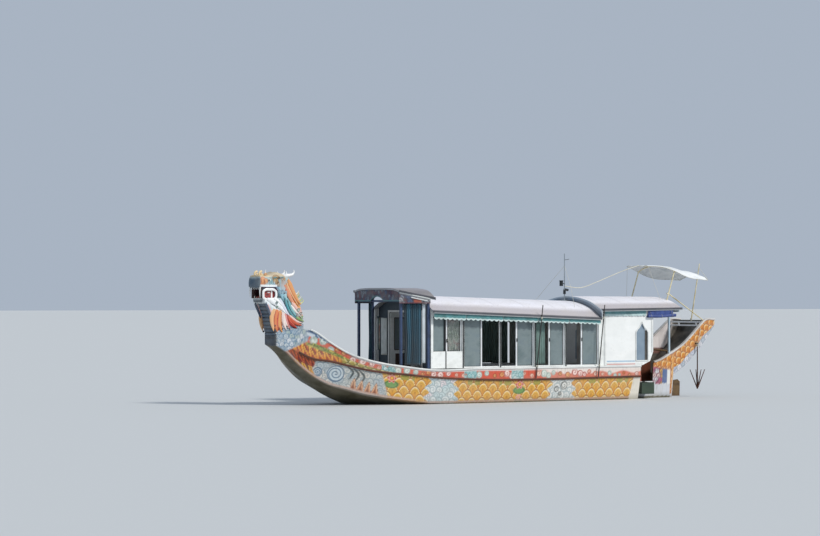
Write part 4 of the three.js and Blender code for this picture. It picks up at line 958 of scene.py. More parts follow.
def dragon_head():
    """The upper head as a loft along x of squared ovals between its top line and the cheek's or
    the upper lip's foot, with cheeks, a brow over each eye and a bridge on the snout."""
    x = np.linspace(5.34, 6.335, 150)[:, None]
    top = along(*np.array(HEAD_TOP).T, x[:, 0])[:, None]
    foot = np.interp(x, *HEAD_FOOT)
    across, up = squared(np.linspace(0, 2 * np.pi, 113)[:-1], 0.36)
    y = np.interp(x, *HEAD_HALF) * across
    z = (top + foot) / 2 + np.maximum((top - foot) / 2, 0.004) * up

    # Relief on the sides: a brow ridge over the eye, a socket round it, a cheek, a lip roll
    def mound(x0, z0, wide, high):
        return np.exp(-(((x - x0) / wide) ** 2) - ((z - z0) / high) ** 2)

    flank = np.clip(np.abs(across) - 0.6, 0, 1) / 0.4
    swell = 0.05 * mound(5.84, 2.985, 0.13, 0.028) - 0.022 * mound(5.83, 2.905, 0.07, 0.05)
    swell += 0.03 * mound(5.72, 2.64, 0.12, 0.10) + 0.022 * mound(6.19, 2.90, 0.09, 0.06)
    swell += 0.02 * mound(6.05, 2.745, 0.22, 0.022)
    y += np.sign(across) * swell * flank
    crown = np.clip(np.abs(up) - 0.7, 0, 1) / 0.3 * (up > 0)
    z += crown * 0.02 * np.sin(x * 60) * np.exp(-((y / 0.09) ** 2))
    points, faces = lofted(x, y, z)
    px, pz = points[:, 0], points[:, 2]
    flat = np.broadcast_to(np.abs(across), y.shape).ravel()
    side = np.clip((flat - 0.86) / 0.08, 0, 1)
    paint = plain("#9DB6BA", points)
    lay(paint, "#C7B79A", inside(0.12 - (pz - 2.86), 0.05))
    lay(paint, "#7FA6B0", inside(pz - 2.86, 0.05) * inside(px - 5.92, 0.04))
    cheek = side * between(px, 5.6, 5.95, 0.03) * inside(pz - 2.84)
    clouds(paint, px, pz, cheek, 0.09, ("#A9C4CE", "#8FB4C2", "#C8D6DA"), "#54809A", 0.012, 1.6)
    for x0, z0, radius, ground, ink, hand in (
        (6.24, 2.93, 0.06, "#E6A468", "#A8502C", 1), (6.16, 2.88, 0.065, "#EBB47C", "#A9502C", -1),
        (6.24, 2.83, 0.065, "#E2985A", "#8F3B22", -1), (5.90, 2.95, 0.085, "#C2A880", "#8A6A48", 1),
        (5.84, 2.84, 0.065, "#BFA27A", "#8A6A48", -1), (6.00, 2.84, 0.055, "#B9CFCF", "#5F8E98", 1),
        (5.70, 2.93, 0.06, "#C9C0B4", "#8A7A6A", 1),
    ):
        curl(paint, px, pz, side, (x0, z0), radius, ground, ink, 1.9, hand, 0.013)
    lay(paint, "#D98A62", side * inside(px - 5.56, 0.03) * inside(2.62 - pz, 0.05) * 0.8)
    lay(paint, "#B9A9A2", side * inside(np.hypot((px - 5.66) / 1.3, pz - 2.81) - 0.09, 0.04) * 0.7)
    lay(paint, "#EEF2F3", side * inside(pz - 2.80) * inside(5.86 - px))
    lay(paint, "#8FB8D6", side * inside(pz - 2.752) * inside(5.86 - px))
    front = inside(6.30 - px, 0.02)
    # Dark navy on the snout's bow-facing front, standing partly for its shade, with a painted highlight along
    # its top.
    lay(paint, "#3D5568", front)
    lay(paint, "#A9B9BC", front * between(pz, 2.952, 2.985))
    lay(paint, "#5F7F8C", front * inside(np.abs(np.sin(pz * 60)) * 0.02 - 0.006) * 0.8)
    lay(paint, "#D9C193", inside(2.985 - pz, 0.02) * inside(6.05 - px, 0.03))
    # Dark purple on the roof of the mouth: partly painted shade inside the mouth.
    mouth_roof = (np.broadcast_to(up[None], y.shape).ravel() < -0.8) & (px > 5.84) & (px < 6.27)
    lay(paint, "#5A2140", mouth_roof * 1.0)
    piece("dragon_head_carved", points, faces, enamel, stands_for=["dragon_head"], paint=paint)


def lock(path, half, thick, y, colour, count=26):
    """A carved lock of hair or flame: a flat oval carried along an (x, z) path on the side of
    the head or neck, widest near its root and drawn out to a point, standing thick off it."""
    line = through(np.array(path), count)
    share = np.linspace(0, 1, count)
    width = half * np.minimum(1, share / 0.25 + 0.3) ** 0.7 * (1 - share**2.2) ** 0.8 + 0.003
    rise = thick * (1 - share**3) ** 0.5 + 0.002
    body = np.column_stack([line[:, 0], np.full(count, y), line[:, 1]])
    return (*bar(body, np.column_stack([width, rise]), up=(0, 1, 0)), colour)


# Locks on each side of the head and neck: colour, half width, and a path from root to tip
FACE_LOCKS = [
    ("#8DBCCB", 0.060, [(5.81, 2.735), (5.75, 2.62), (5.71, 2.52), (5.66, 2.40)]),
    ("#A3C9D2", 0.050, [(5.71, 2.72), (5.67, 2.62), (5.63, 2.50), (5.58, 2.38)]),
    ("#DCE0EE", 0.040, [(5.79, 2.47), (5.70, 2.32), (5.60, 2.17), (5.47, 2.01)]),
    ("#2F5F6C", 0.017, [(5.70, 2.54), (5.635, 2.32), (5.54, 2.13), (5.38, 1.985)]),
    ("#4F9AA4", 0.038, [(5.65, 2.50), (5.58, 2.29), (5.47, 2.12), (5.27, 1.98)]),
    ("#26505C", 0.014, [(5.61, 2.46), (5.53, 2.25), (5.43, 2.10), (5.25, 1.975)]),
    ("#7DB5BA", 0.034, [(5.57, 2.46), (5.49, 2.26), (5.38, 2.11), (5.20, 1.97)]),
    ("#DB8F6C", 0.056, [(5.657, 2.80), (5.56, 2.60), (5.45, 2.40), (5.30, 2.22)]),
    ("#EDC08C", 0.026, [(5.62, 2.84), (5.53, 2.68), (5.42, 2.50), (5.28, 2.30)]),
    ("#DE9A5C", 0.060, [(5.57, 2.92), (5.48, 2.72), (5.37, 2.52), (5.22, 2.33)]),
    ("#C9653E", 0.020, [(5.56, 2.80), (5.48, 2.62), (5.38, 2.46), (5.27, 2.32)]),
    ("#E5BDB0", 0.044, [(5.47, 2.40), (5.35, 2.26), (5.25, 2.15), (5.18, 2.05)]),
    ("#E9E3DC", 0.032, [(5.50, 2.33), (5.38, 2.20), (5.28, 2.11), (5.20, 2.03)]),
    ("#D3A3A4", 0.018, [(5.43, 2.34), (5.33, 2.21), (5.25, 2.12), (5.18, 2.04)]),
    ("#7FA05A", 0.034, [(5.36, 2.06), (5.28, 2.01), (5.21, 1.98), (5.14, 1.95)]),
    ("#DFE6EA", 0.056, [(6.19, 2.434), (6.031, 2.30), (5.856, 2.21), (5.632, 2.12)]),
    ("#EEF1F2", 0.060, [(6.12, 2.475), (5.906, 2.38), (5.732, 2.25), (5.60, 2.12)]),
    ("#F4F5F5", 0.040, [(5.95, 2.49), (5.80, 2.40), (5.68, 2.28), (5.57, 2.14)]),
    ("#3F5068", 0.040, [(6.16, 2.40), (6.09, 2.25), (6.03, 2.10), (5.99, 1.95)]),
    ("#E2B8B8", 0.034, [(6.11, 2.36), (6.04, 2.22), (5.98, 2.08), (5.94, 1.93)]),
    ("#CFE0DF", 0.028, [(6.02, 2.30), (5.98, 2.20), (5.95, 2.10), (5.94, 1.99)]),
]
BEARD_LOCKS = [
    ("#E8B27C", 0.078, [(5.93, 2.24), (5.98, 2.07), (5.98, 1.90), (5.95, 1.73)]),
    ("#DD7A40", 0.074, [(5.86, 2.23), (5.90, 2.05), (5.90, 1.88), (5.85, 1.71)]),
    ("#A8322A", 0.022, [(5.90, 2.20), (5.95, 2.04), (5.95, 1.90), (5.91, 1.77)]),
    ("#C4472B", 0.040, [(5.83, 2.16), (5.86, 2.00), (5.86, 1.86), (5.81, 1.74)]),
    ("#E39A55", 0.072, [(5.78, 2.21), (5.80, 2.03), (5.79, 1.86), (5.72, 1.70)]),
    ("#8F2B22", 0.018, [(5.76, 2.17), (5.77, 2.02), (5.76, 1.89), (5.70, 1.77)]),
    ("#F0DCD6", 0.054, [(5.71, 2.17), (5.70, 2.02), (5.67, 1.88), (5.61, 1.75)]),
    ("#D98E8A", 0.044, [(5.65, 2.13), (5.62, 1.99), (5.57, 1.87), (5.51, 1.77)]),
    ("#F2E6DF", 0.030, [(5.68, 2.10), (5.65, 1.98), (5.61, 1.88), (5.56, 1.79)]),
    ("#A8322A", 0.060, [(5.60, 2.10), (5.54, 1.97), (5.45, 1.87), (5.33, 1.79)]),
    ("#D9694A", 0.026, [(5.58, 2.07), (5.52, 1.96), (5.44, 1.88), (5.35, 1.82)]),
    ("#C9573A", 0.056, [(5.56, 2.06), (5.46, 1.97), (5.34, 1.90), (5.20, 1.86)]),
    ("#E9C9BE", 0.032, [(5.55, 2.10), (5.43, 2.01), (5.31, 1.94), (5.18, 1.91)]),
]


# Small carved curls and dots on each side: x, z, radius and colour
CURLS = [
    (5.30, 2.21, 0.045, "#7E8E7A"), (5.235, 2.13, 0.04, "#8A6F6A"), (5.21, 2.04, 0.036, "#6F9A58"),
    (5.33, 2.10, 0.035, "#8E8088"), (5.876, 2.374, 0.036, "#4E6E72"), (5.866, 2.28, 0.028, "#6A8A7E"),
]
DOTS = [
    (5.80, 2.95, 0.016, "#3F2A20"), (5.84, 2.86, 0.017, "#5A3A26"), (5.84, 2.77, 0.013, "#7E6A5A"),
    (5.74, 2.674, 0.015, "#26323A"), (5.64, 2.68, 0.02, "#C9542C"), (5.67, 2.61, 0.016, "#4A3430"),
    (5.92, 1.86, 0.02, "#5A1E16"), (5.92, 1.72, 0.024, "#2A1512"), (5.81, 1.80, 0.018, "#7A2A1A"),
    (5.73, 1.78, 0.018, "#5A1E16"), (5.60, 1.84, 0.016, "#7A3A3A"), (5.86, 2.02, 0.014, "#A8322A"),
]


def dragon_hair():
    """Locks and beard flames down both sides, each pair the mirror image of the other."""
    for name, table, y, thick, gone in (
        ("dragon_cheek_locks", FACE_LOCKS, 0.255, 0.02, []),
        ("dragon_beard", BEARD_LOCKS, 0.262, 0.022, ["beard_port", "beard_starboard"]),
    ):
        parts = [lock(path, half, thick, y, colour) for colour, half, path in table]
        merged(name, both(parts), enamel, stands_for=gone)
    parts = []
    edge = np.array(NECK_BACK + HEAD_TOP[1:4])
    tones = ["#D9D88A", "#B9C65A", "#E6E2C0", "#A9B950", "#DCC76A", "#EDE7D2"]
    for number, z in enumerate(np.linspace(2.37, 2.58, 6)):
        x = float(np.interp(z, edge[:, 1], edge[:, 0]))
        path = [(x + 0.09, z - 0.03), (x + 0.02, z - 0.01), (x - 0.05, z + 0.02), (x - 0.10, z + 0.085)]
        parts.append(lock(path, 0.015, 0.014, 0.226, tones[number], 16))
    for x, z, radius, tone in CURLS:
        parts.append(spiral_roll((x, z), radius, 0.011, 1.4, 0.277, tone))
        parts.append((*ball((x, 0.266, z), (radius * 1.05, 0.012, radius * 1.05)), "#C9CFCB"))
    for x, z, radius, tone in DOTS:
        parts.append((*ball((x, 0.282, z), (radius, 0.008, radius)), tone))
    merged("dragon_fringe_spikes", both(parts), enamel)


MANE = [
    (5.47, 2.90, "#CF7F52"), (5.42, 2.76, "#D9914F"), (5.37, 2.62, "#DDA95C"), (5.31, 2.50, "#D9C45A"),
    (5.25, 2.39, "#A9B950"), (5.20, 2.28, "#DDBDB0"), (5.155, 2.17, "#C99A94"), (5.13, 2.06, "#8FA878"),
    (5.115, 1.96, "#6F9A58"),
]


def dragon_crest():
    """The mane behind the head: leaning flames on the middle line, each a pointed lock, orange
    at the head, yellow-green in the middle and green at the foot."""
    parts = []
    for x, z, tone in MANE:
        for shift, y in ((0.0, 0.0), (0.035, 0.028), (0.035, -0.028)):
            root = np.array([x + 0.09, z + 0.05 - shift])
            path = [root, root + [-0.07, -0.05], root + [-0.12, -0.055], root + [-0.155 + shift, -0.02]]
            parts.append(lock(path, 0.038, 0.022, y, tone, 18))
    merged("dragon_mane", parts, enamel, stands_for=["mane_crest"])


# The mouth's white ring, then the skins that close the cheek inside it: x and z from and to,
# |y| from and to, colour
MOUTH_RING = [
    (6.215, 2.57), (6.207, 2.65), (6.15, 2.686), (6.04, 2.692), (5.94, 2.685), (5.888, 2.645), (5.875, 2.575),
    (5.892, 2.50), (5.95, 2.466), (6.05, 2.46), (6.15, 2.466), (6.207, 2.50), (6.215, 2.57),
]
# MOUTH_DARK, the near black on the innermost skin of the mouth, is painted shade of the mouth's inside; it also
# draws the dark line on the red panel.
LIP_WHITE, MOUTH_RED, MOUTH_DARK = "#F4F5F4", "#9C3234", "#32121F"
MOUTH_SKINS = [
    (5.866, 6.282, 2.49, 2.73, 0.192, 0.195, MOUTH_DARK), (5.84, 6.20, 2.48, 2.73, 0.195, 0.199, "#7FA9BC"),
    (5.885, 6.20, 2.492, 2.68, 0.199, 0.204, MOUTH_RED), (5.955, 5.995, 2.50, 2.67, 0.204, 0.212, LIP_WHITE),
    (6.05, 6.12, 2.56, 2.58, 0.204, 0.209, MOUTH_DARK), (6.02, 6.08, 2.61, 2.635, 0.204, 0.209, LIP_WHITE),
]


def tooth(path, size, count=8, colour=LIP_WHITE):
    """A tooth: a round bar along a path whose size tapers as given."""
    return (*bar(through(path, count), size, up=(1, 0, 0)), colour)


def dragon_jaw():
    """The lower jaw: a squared oval loft from the throat to the chin with four teeth; and the
    mouth's rings, teeth and eyes."""
    x = np.linspace(5.802, 6.25, 60)[:, None]
    top = np.interp(x, [5.80, 6.12, 6.25], [2.50, 2.50, 2.485])
    foot = np.interp(x, [5.80, 6.1, 6.2, 6.25], [2.36, 2.36, 2.385, 2.42])
    across, up = squared(np.linspace(0, 2 * np.pi, 65)[:-1], 0.35)
    half = np.interp(x, [5.80, 6.05, 6.18, 6.25], [0.235, 0.232, 0.21, 0.17])
    points, faces = lofted(x, half * across, (top + foot) / 2 + (top - foot) / 2 * up)
    paint = plain("#E4EAEC", points)
    # Dark navy on the jaw's bow-facing front, standing partly for its shade.
    lay(paint, "#33495A", inside(6.205 - points[:, 0], 0.02))
    lay(paint, "#DDE4E6", inside(6.205 - points[:, 0], 0.02) * inside(2.468 - points[:, 2]))
    # Dark purple on the jaw inside the mouth: partly painted shade.
    lay(paint, "#5A2140", (points[:, 2] > 2.492) * inside(points[:, 0] - 6.22))
    parts = [(points, faces, paint)]
    for y, tall in ((0.15, 0.08), (0.05, 0.035), (-0.05, 0.035), (-0.15, 0.08)):
        path = [(6.215, y, 2.48), (6.223, y, 2.48 + tall * 0.6), (6.215, y, 2.48 + tall)]
        parts.append(tooth(path, np.linspace(1, 0.06, 8) * 0.017, colour="#EDEBDD"))
    merged("dragon_jaw_carved", parts, enamel, stands_for=["dragon_jaw"])
    lips = []
    for sign in (1, -1):
        flat = through(np.array(MOUTH_RING), 80)
        body = np.column_stack([flat[:, 0], np.full(80, sign * 0.246), flat[:, 1]])
        lips.append((*bar(body, np.tile([0.03, 0.022], (80, 1)), up=(0, 1, 0)), LIP_WHITE))
        for x0, x1, z0, z1, near, far, tone in MOUTH_SKINS:
            low_y, high_y = sorted((sign * near, sign * far))
            lips.append((*block((x0, low_y, z0), (x1, high_y, z1), 0.001), tone))
        lips.append((*ball((6.065, sign * 0.258, 2.905), (0.046, 0.022, 0.036)), "#C9D6CC"))
        lips.append((*ball((6.078, sign * 0.276, 2.905), (0.021, 0.01, 0.021)), "#15181C"))
        fang = [(6.29, sign * 0.235, 2.75), (6.302, sign * 0.24, 2.63), (6.295, sign * 0.24, 2.50)]
        lips.append(tooth(fang, 0.018 * (1 - np.linspace(0, 0.95, 12) ** 2), 12))
    for y in (-0.15, -0.05, 0.05, 0.15):
        path = [(6.29, y, 2.75), (6.295, y, 2.715), (6.288, y, 2.68)]
        lips.append(tooth(path, np.linspace(1, 0.1, 8) * 0.018))
    # The dark red back of the mouth is partly painted shade.
    lips.append((*block((5.808, -0.193, 2.581), (5.868, 0.193, 2.70), 0.02), "#4E161A"))
    merged("dragon_lips_teeth_eyes", lips, gloss_enamel)


def spiral_roll(centre, radius, thick, turns, y, colour, hand=1):
    """A carved curl: a tapering bar wound as a spiral in the plane of the face."""
    turn = np.linspace(0.15, 1, 46)
    angle = hand * 2 * np.pi * turns * turn
    x, z = centre[0] + radius * turn * np.cos(angle), centre[1] + radius * turn * np.sin(angle)
    line = np.column_stack([x, np.full(46, y), z])
    return (*bar(line, thick * (0.45 + 0.55 * turn), 8, up=(0, 1, 0)), colour)


NOSTRIL_BROW = [(6.26, 2.99), (6.16, 2.995), (6.06, 3.005), (5.97, 3.03)]
EYE_BROW = [(5.95, 2.955), (5.87, 2.985), (5.78, 2.985), (5.69, 2.955)]
HORN = [  # x, |y| and z from root to tip
    (5.655, 0.172, 2.985), (5.60, 0.192, 3.005), (5.52, 0.212, 3.015),
    (5.44, 0.224, 3.04), (5.40, 0.229, 3.09), (5.405, 0.229, 3.148),
]
HORN_SPUR = [(5.60, 0.2, 3.02), (5.585, 0.205, 3.07), (5.60, 0.205, 3.12)]
BONE = "#E8EAEB"


def dragon_nose_horns():
    """Curled nostrils and a small spike on the snout, brow curls, horns and a tongue."""
    parts = []
    for sign in (1, -1):
        parts += [
            spiral_roll((6.20, 3.045), 0.062, 0.026, 1.3, sign * 0.11, "#E9D2A4"),
            spiral_roll((6.09, 3.035), 0.036, 0.018, 1.2, sign * 0.14, "#CC8E52", -1),
            lock(NOSTRIL_BROW, 0.016, 0.016, sign * 0.2, "#7A4A2A", 20),
            lock(EYE_BROW, 0.022, 0.03, sign * 0.262, "#5E9AA2", 20),
            spiral_roll((5.66, 2.93), 0.03, 0.011, 1.3, sign * 0.262, "#C9A070"),
        ]
    spike = [(6.02, 0, 3.02), (6.025, 0, 3.09), (6.01, 0, 3.155)]
    parts.append(tooth(spike, np.linspace(1, 0.08, 8) * 0.026, colour="#EEF0F0"))
    merged("dragon_nose_and_brows", parts, enamel)
    for name, sign in SIDES:
        curve, spur = (through(np.array(path) * [1, sign, 1], n) for path, n in ((HORN, 34), (HORN_SPUR, 12)))
        size = np.interp(np.linspace(0, 1, 34), [0, 0.2, 0.6, 1], [0.056, 0.052, 0.038, 0.008])
        parts = [(*bar(curve, size, 12, up=(0, 1, 0)), BONE)]
        parts.append((*ball((5.665, sign * 0.185, 2.965), (0.075, 0.06, 0.05)), "#C9CFD2"))
        parts.append((*bar(spur, np.linspace(0.032, 0.004, 12), up=(0, 1, 0)), BONE))
        merged(f"dragon_horn_{name}", parts, gloss_enamel, stands_for=[f"horn_{name}"])
    share = np.linspace(0, 1, 30)
    line = np.column_stack([5.81 + 0.46 * share, 0 * share, 2.535 + 0.03 * np.sin(share * 4.2)])
    size = np.column_stack([0.095 * (1 - share**5) ** 0.5 + 0.006, 0.016 * (1 - 0.5 * share)])
    points, faces = bar(line, size, 16)
    paint = plain("#C23A2E", points)
    lay(paint, "#8A1F1C", inside(np.abs(points[:, 1]) - 0.012, 0.02))
    piece("dragon_tongue", points, faces, gloss_enamel, stands_for=["tongue"], paint=paint)


# Cloth


def as_cloth(made, thickness):
    """Gives a sheet the thickness of its cloth, half to each side."""
    thick = made.modifiers.new("cloth", "SOLIDIFY")
    thick.thickness, thick.offset = thickness, 0


def laid_flat(along_it, down_it):
    """Places on the flat cloth of a grid's points."""
    return np.stack(np.broadcast_arrays(along_it, down_it), -1).reshape(-1, 2)


def hanging(
    name, line, drop, folds, depth, material, stands_for=(),
    scallop=(0, 0.0), waist=0.0, hem=None, tint=None, rows=22, fold_light=0.12,
):
    """A cloth hung from a line of points by its top edge. A point at shares u and v of its width
    and height hangs v times the drop below the line and swings out by depth times
    sin(2 pi folds u), more towards the hem; waist draws the middle in towards the line's start,
    and scallop gives the hem so many half circles of that depth."""
    columns = max(60, folds * 12, scallop[0] * 8)
    u, v = np.linspace(0, 1, columns), np.linspace(0, 1, rows)
    line = np.array(line, float)
    base = through(line, columns) if len(line) > 2 else line[0] + u[:, None] * (line[1] - line[0])
    run = base[-1] - base[0]
    out = np.array([-run[1], run[0], 0]) / np.hypot(run[0], run[1])
    wave = np.sin(2 * np.pi * folds * u + 0.9 * np.sin(5 * u) + 0.7 * v[:, None])
    swing = depth * (0.3 + 0.7 * v[:, None]) * wave
    narrow = 1 - waist * np.exp(-(((v - 0.6) / 0.28) ** 2))[:, None, None]
    grid = base[0] + (base - base[0])[None] * narrow + out * swing[..., None]
    grid[..., 2] -= drop * v[:, None]
    if scallop[0]:
        grid[..., 2] += scallop[1] * (1 - np.abs(np.sin(np.pi * scallop[0] * u))) * v[:, None] ** 3
    length = run_of(grid[rows // 2])
    flat = laid_flat(length[None], (v * drop)[:, None])
    paint = None
    if tint is not None:
        paint = plain(tint, flat)
        # Bands of lighter and darker tone across the cloth's width: painted light and shade of its folds.
        paint *= (0.92 + fold_light * np.sin(flat[:, 0] * 23) * np.sin(flat[:, 0] * 5.1 + 2))[:, None]
        if hem:
            lay(paint, hem, inside(0.66 - np.repeat(v, columns), 0.1) * 0.9)
    faces = [quads(rows, columns)]
    made = piece(name, grid, faces, material, stands_for=stands_for, paint=paint, flat=flat, sharp=80)
    as_cloth(made, 0.002)


def make_arch_board():
    """The blue-grey board that closes the step between the two roofs: between the aft roof's
    arch and the main roof's, pale along its upper edge and darker towards its lower edge, painted
    shade where it meets the main roof."""
    share = np.linspace(-1, 1, 80)
    upper = arched(AFT_ROOF, ARCH, np.array([-2.571]), share)[0]
    lower = arched(MAIN_ROOF, ARCH, np.array([-2.57]), share)[0]
    rows = np.linspace(0, 1, 8)[:, None, None]
    front = (upper[None] - [0, 0, 0.002]) * (1 - rows) + (lower[None] + [0, 0, 0.003]) * rows
    grid = np.stack([np.broadcast_to(-2.548, front.shape[:2]), front[..., 1], front[..., 2]], -1)
    points, faces = slab(grid, grid - [0.02, 0, 0])
    paint = plain("#5F7488", points)
    down = np.tile(np.repeat(np.linspace(0, 1, 8), 80), 2)
    lay(paint, "#A9B9C6", inside(down - 0.3, 0.2))
    # Painted shade: darker towards the lower edge, where the board meets the main roof.
    lay(paint, "#33414F", inside(0.8 - down, 0.2) * 0.8)
    piece("arch_board", points, faces, enamel, paint=paint)


FASCIA = [[2.36, 1.35], [3.01, 1.01], [3.01, -1.01], [2.36, -1.35]]
FASCIA_FOOT = [2.42, 2.37]  # lower edge of the front board and of the canted boards


def make_porch_fascia():
    """The carved and painted boards round the porch, with an arch cut in the lower edge of the
    front one; at a point of the outline they reach up to the underside of the porch roof."""
    stations, number = [], []
    for part, (a, b) in enumerate(zip(FASCIA[:-1], FASCIA[1:])):
        run = np.linspace(0, 1, 110 if part == 1 else 46)[:, None]
        stations.append(np.array(a) * (1 - run) + np.array(b) * run)
        number += [part] * len(run)
    plan, number = np.concatenate(stations), np.array(number)
    length = np.cumsum(np.concatenate([[0], np.hypot(*np.diff(plan, axis=0).T)]))
    porch = np.array(PORCH_ROOF)
    half, eave, crown = (np.interp(plan[:, 0], porch[:, 0], porch[:, i]) for i in (1, 2, 3))
    arch = np.array(FLAT_ARCH)
    rise = along(arch[:, 0], arch[:, 1], np.clip(np.abs(plan[:, 1]) / half, 0, 1))
    top = eave + (crown - eave) * np.clip(rise, 0, 1) - 0.041
    foot = np.where(number == 1, FASCIA_FOOT[0], FASCIA_FOOT[1])
    bow = 2.05 + np.sqrt(np.clip(0.48**2 - plan[:, 1] ** 2, 0, None))
    foot = np.where(number == 1, np.maximum(foot, bow), foot)
    up = np.linspace(0, 1, 16)[:, None]
    z = foot[None] * (1 - up) + top[None] * up
    grid = np.stack(np.broadcast_arrays(plan[None, :, 0], plan[None, :, 1], z), -1)
    inward = (np.array([2.2, 0.0, 0.0]) - grid) * [1, 1, 0]
    inward /= np.linalg.norm(inward, axis=2, keepdims=True)
    points, faces = slab(grid, grid + inward * 0.03)
    count = grid.shape[0] * grid.shape[1]
    s, t = np.tile(np.tile(length, 16), 2), points[:, 2]
    front = np.tile(np.tile((number == 1) * 1.0, 16), 2)
    over = np.tile((z - foot[None]).ravel(), 2)
    under = np.tile((top[None] - z).ravel(), 2)
    paint = plain("#33406A", points)
    grounds = ("#4A6EA8", "#6A3A66", "#8C4A62", "#3F5F8C", "#9FB2C9")
    clouds(paint, s, t, np.ones(len(points)), 0.1, grounds, "#1F2A4A", 0.013, 1.5)
    side = 1 - front
    grounds = ("#5A7FB0", "#8A3A4E", "#D9DDE6", "#70407A", "#B9C6DA")
    clouds(paint, s + 0.03, t + 0.02, side, 0.12, grounds, "#2A2246", 0.015, 1.6)
    patch = side * inside(np.abs(np.minimum(s, length[-1] - s) - 0.30) - 0.09, 0.03)
    lay(paint, "#D9583A", patch * inside(over - 0.09, 0.02))
    lay(paint, "#4FA0A8", front * inside(over - 0.026))
    lay(paint, "#7C3A52", side * inside(over - 0.022))
    # A white strip along the top of the canted boards: painted highlight of the sunlit roof edge.
    lay(paint, "#E3E6EC", side * inside(under - 0.03))
    lay(paint, "#27304F", (np.arange(len(points)) >= count) * 1.0)
    # Everything on the boards at half brightness: painted shade of the porch's boards.
    paint *= 0.5
    piece("porch_fascia_carved", points, faces, enamel, stands_for=["porch_fascia"], paint=paint)
    strips = []
    for sign in (1, -1):
        a, b = (np.array(end) * [1, sign] for end in FASCIA[:2])
        out = np.array([0.34, sign * 0.65, 0]) / np.hypot(0.34, 0.65) * 0.009
        for low, *shares in ((0.008, 0.02, 0.98), (-0.055, 0.10, 0.62)):
            line = []
            for share in shares:
                x, y = a * (1 - share) + b * share
                line.append(np.array([x, y, float(np.interp(x, plan[:46, 0], top[:46])) + low]) + out)
            strips.append(carried(line, rounded(0.018, 0.026, 0.004)))
    merged("porch_eave_strips", strips, cap_enamel)
    back, front, low, high, lintel, jamb, leaf = 2.2005, 2.218, 0.455, 2.205, 2.152, 0.722, 0.775
    bars = ((jamb, low, leaf), (-jamb, lintel, jamb), (-leaf, low, -jamb))
    frame_parts = [block((back, y0, z0), (front, y1, high), 0.004) for y0, z0, y1 in bars]
    merged("doorway_frame", frame_parts, cap_enamel)


def lashing(centre, radius, turns=5, thick=0.005):
    """Rope wound round an upright pole: a helix of so many turns about a point, and a hitch."""
    turn = np.linspace(0, 2 * np.pi * turns, turns * 16)
    rise = (turn / (2 * np.pi) - turns / 2) * thick * 2.1
    line = np.column_stack([radius * np.cos(turn), radius * np.sin(turn), rise]) + np.array(centre)
    knot = ball(np.array(centre) + [0, radius + thick, 0], (thick * 2.4,) * 3, 6, 10)
    return [tube(line, thick, 6), knot]


POLE_LOW, POLE_HIGH = 0.576, 2.33  # the side poles' two ends


def make_ropework():
    """Lashings on the side poles, the awning's stern pole and the anchor, the anchor's line, and
    a mooring line coiled forward."""
    parts = []
    for foot, lean in ((-0.64, 0.106), (-2.50, 0.098)):
        for z in (0.86, 2.02):
            share = (z - POLE_LOW) / (POLE_HIGH - POLE_LOW)
            parts += lashing((foot - 0.13 * share, 1.376 + lean * share, z), 0.0185)
    parts += lashing((-6.38, 0.15, 1.95), 0.02, 6)
    parts += lashing((-6.05, 0.812, 1.31), 0.022, 6, 0.006)
    line = through([(-6.05, 0.812, 1.33), (-6.12, 0.80, 1.52), (-6.16, 0.785, 1.74), (-6.14, 0.75, 1.79)], 20)
    parts.append(tube(line, 0.007, 8))
    turn = np.linspace(0, 12 * np.pi, 260)
    radius = 0.24 - 0.0035 * turn
    coil = np.column_stack([3.72 + radius * np.cos(turn), -0.35 + radius * np.sin(turn), np.full(260, 0.466)])
    coil[:, 2] += 0.006 * np.sin(turn * 1.7)
    parts.append(tube(coil, 0.013, 8))
    merged("lashings_and_mooring_line", parts, rope_fibre)


def make_bow_timbers():
    """Sawn frames inside the bow: at each station a timber follows the inner face of the side
    from the deck to the gunwale; and a mooring post on the bow deck."""
    parts = []
    for x in np.arange(2.62, 4.95, 0.38):
        g = np.linspace(1.1, 2.97, 16)
        line = section(np.array([x]), g)[0]
        line = line[line[:, 2] > (0.455 if x < 4.15 else 0.985)]
        line[:, 1] -= 0.058
        parts.append(carried(line, rounded(0.034, 0.05, 0.008), up=(1, 0, 0)))
    parts = both(parts)
    parts.append(tube([(4.62, 0, 0.981), (4.62, 0, 1.26)], 0.045, 16))
    parts.append(tube([(4.62, -0.13, 1.19), (4.62, 0.13, 1.19)], 0.018, 12))
    merged("bow_timbers", parts, timber_paint)


def make_stern_clutter():
    """By the engine: a red fuel can with its handle and cap and a coil of rope; and the straps
    and cap of the fuel tank."""
    red, black, straw = "#A23A2A", "#26262A", "#B9A780"
    handle = through([(-4.33, 0.61, 0.57), (-4.32, 0.61, 0.63), (-4.22, 0.61, 0.63), (-4.21, 0.61, 0.57)], 16)
    turn = np.linspace(0, 8 * np.pi, 160)
    rise = 0.275 + 0.021 * turn / (2 * np.pi)
    coil = np.column_stack([-4.20 + 0.13 * np.cos(turn), -0.52 + 0.13 * np.sin(turn), rise])
    parts = [
        (*block((-4.36, 0.52, 0.2615), (-4.16, 0.70, 0.58), 0.03), red), (*tube(handle, 0.012), red),
        (*tube([(-4.19, 0.61, 0.57), (-4.19, 0.61, 0.615)], 0.022, 12), black), (*tube(coil, 0.011, 8), straw),
    ]
    merged("fuel_can_and_rope", parts, gloss_enamel)
    parts = [block((-4.405, y, 0.115), (-4.005, y + 0.025, 0.405), 0.004) for y in (0.83, 1.12)]
    parts.append(tube([(-4.20, 0.98, 0.398), (-4.20, 0.98, 0.425)], 0.035, 18))
    merged("tank_straps_and_cap", parts, dark_metal)


VALANCE_LOW, HEAD_DROP = 1.85, 0.0287  # foot of the valance at x = -2.57 and its rise with x
WALL_Y, WALL_FACE = 1.28, 1.2803  # the boat's side walls, and where what lies on them starts


def head_height(x):
    """Top of the window openings at x."""
    return 1.92 + HEAD_DROP * (x + 2.57)


